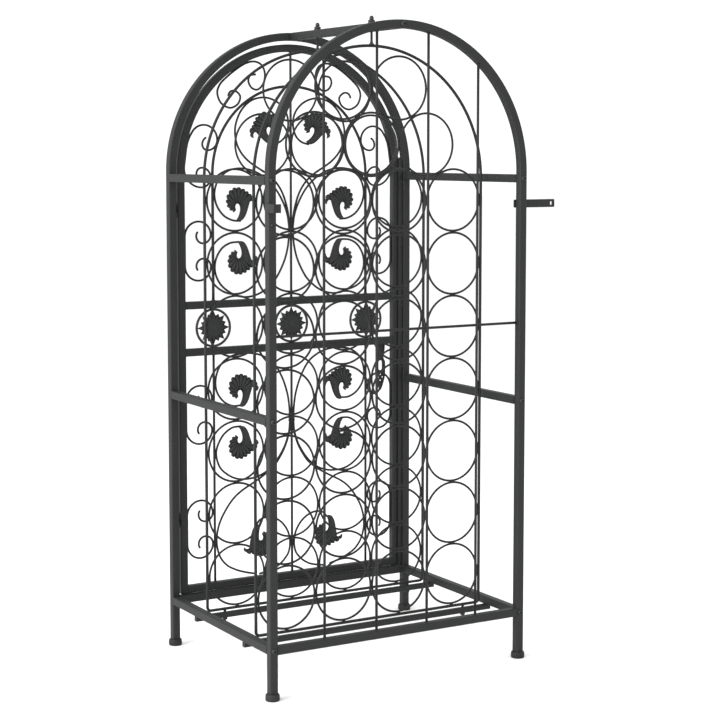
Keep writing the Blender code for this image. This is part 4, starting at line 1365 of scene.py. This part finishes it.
bm = bmesh.new()
bmesh.ops.create_circle(bm, cap_ends=True, cap_tris=False, radius=30.0, segments=96)
mesh = bpy.data.meshes.new("studio_floor")
bm.to_mesh(mesh)
bm.free()
mesh.materials.append(studio_floor())
floor = bpy.data.objects.new("studio_floor", mesh)
bpy.context.scene.collection.objects.link(floor)
print("floor", len(mesh.polygons), "face")

# %% [markdown]
# The light is a white room with two soft boxes. The room alone would make every face
# the same grey; the large box on the hinge side makes those faces nearly twice as
# bright as the rear ones, which is what lets the square tube read as square. The
# second box, high behind the camera, puts a soft sheen on the round wires.

# %% Light
def soft_box(name, at, target, width, height, power):
    data = bpy.data.lights.new(name, "AREA")
    data.shape, data.size, data.size_y, data.energy = "RECTANGLE", width, height, power
    lamp = bpy.data.objects.new(name, data)
    lamp.location = at
    lamp.rotation_euler = (Vector(target) - Vector(at)).to_track_quat("-Z", "Y").to_euler()
    bpy.context.scene.collection.objects.link(lamp)


world = bpy.data.worlds.new("white_room")
bpy.context.scene.world = world
world.use_nodes = True
room = world.node_tree.nodes["Background"]
room.inputs["Color"].default_value = (1.0, 1.0, 1.0, 1.0)
room.inputs["Strength"].default_value = 1.16
soft_box("hinge_side_box", (3.4, 0.4, 1.9), (0, 0, 0.5), 2.4, 2.6, 170)
soft_box("high_rear_box", (1.2, 3.6, 3.0), (0, 0, 0.6), 2.2, 1.6, 45)
bpy.context.scene.view_settings.view_transform = "Standard"

# %% [markdown]
# The camera stands behind the rack, on the hinge side, and looks at the closed door
# through the bottle rings. A long lens keeps the uprights nearly parallel. A small
# part of the framing is done with vertical shift, and the rest by tilting down.

# %% Camera
data = bpy.data.cameras.new("camera")
data.lens, data.sensor_width = 88.0, 36.0
data.shift_y = -0.07
camera = bpy.data.objects.new("camera", data)
camera.location = (1.375, 2.3874, 0.7936)
TILT_DOWN, ROUND_FROM_FRONT = 5.1, 149.54
camera.rotation_euler = (math.radians(90 - TILT_DOWN), 0, math.radians(ROUND_FROM_FRONT))
data.clip_start, data.clip_end = 0.05, 100
bpy.context.scene.collection.objects.link(camera)
bpy.context.scene.camera = camera
print("camera at", [round(v, 3) for v in camera.location])

# %% [markdown]
# The last cell lists the pieces, the frame's nodes that are still shown, and the
# number of triangles.

# %% Pieces and triangles
shown = [o for o in bpy.data.objects if o.type == "MESH" and not o.hide_render and o is not floor]
print("pieces:", len(MADE), "still the frame's own:", [o.name for o in shown if o not in MADE])
print("triangles:", sum(len(p.vertices) - 2 for o in MADE for p in o.data.polygons))
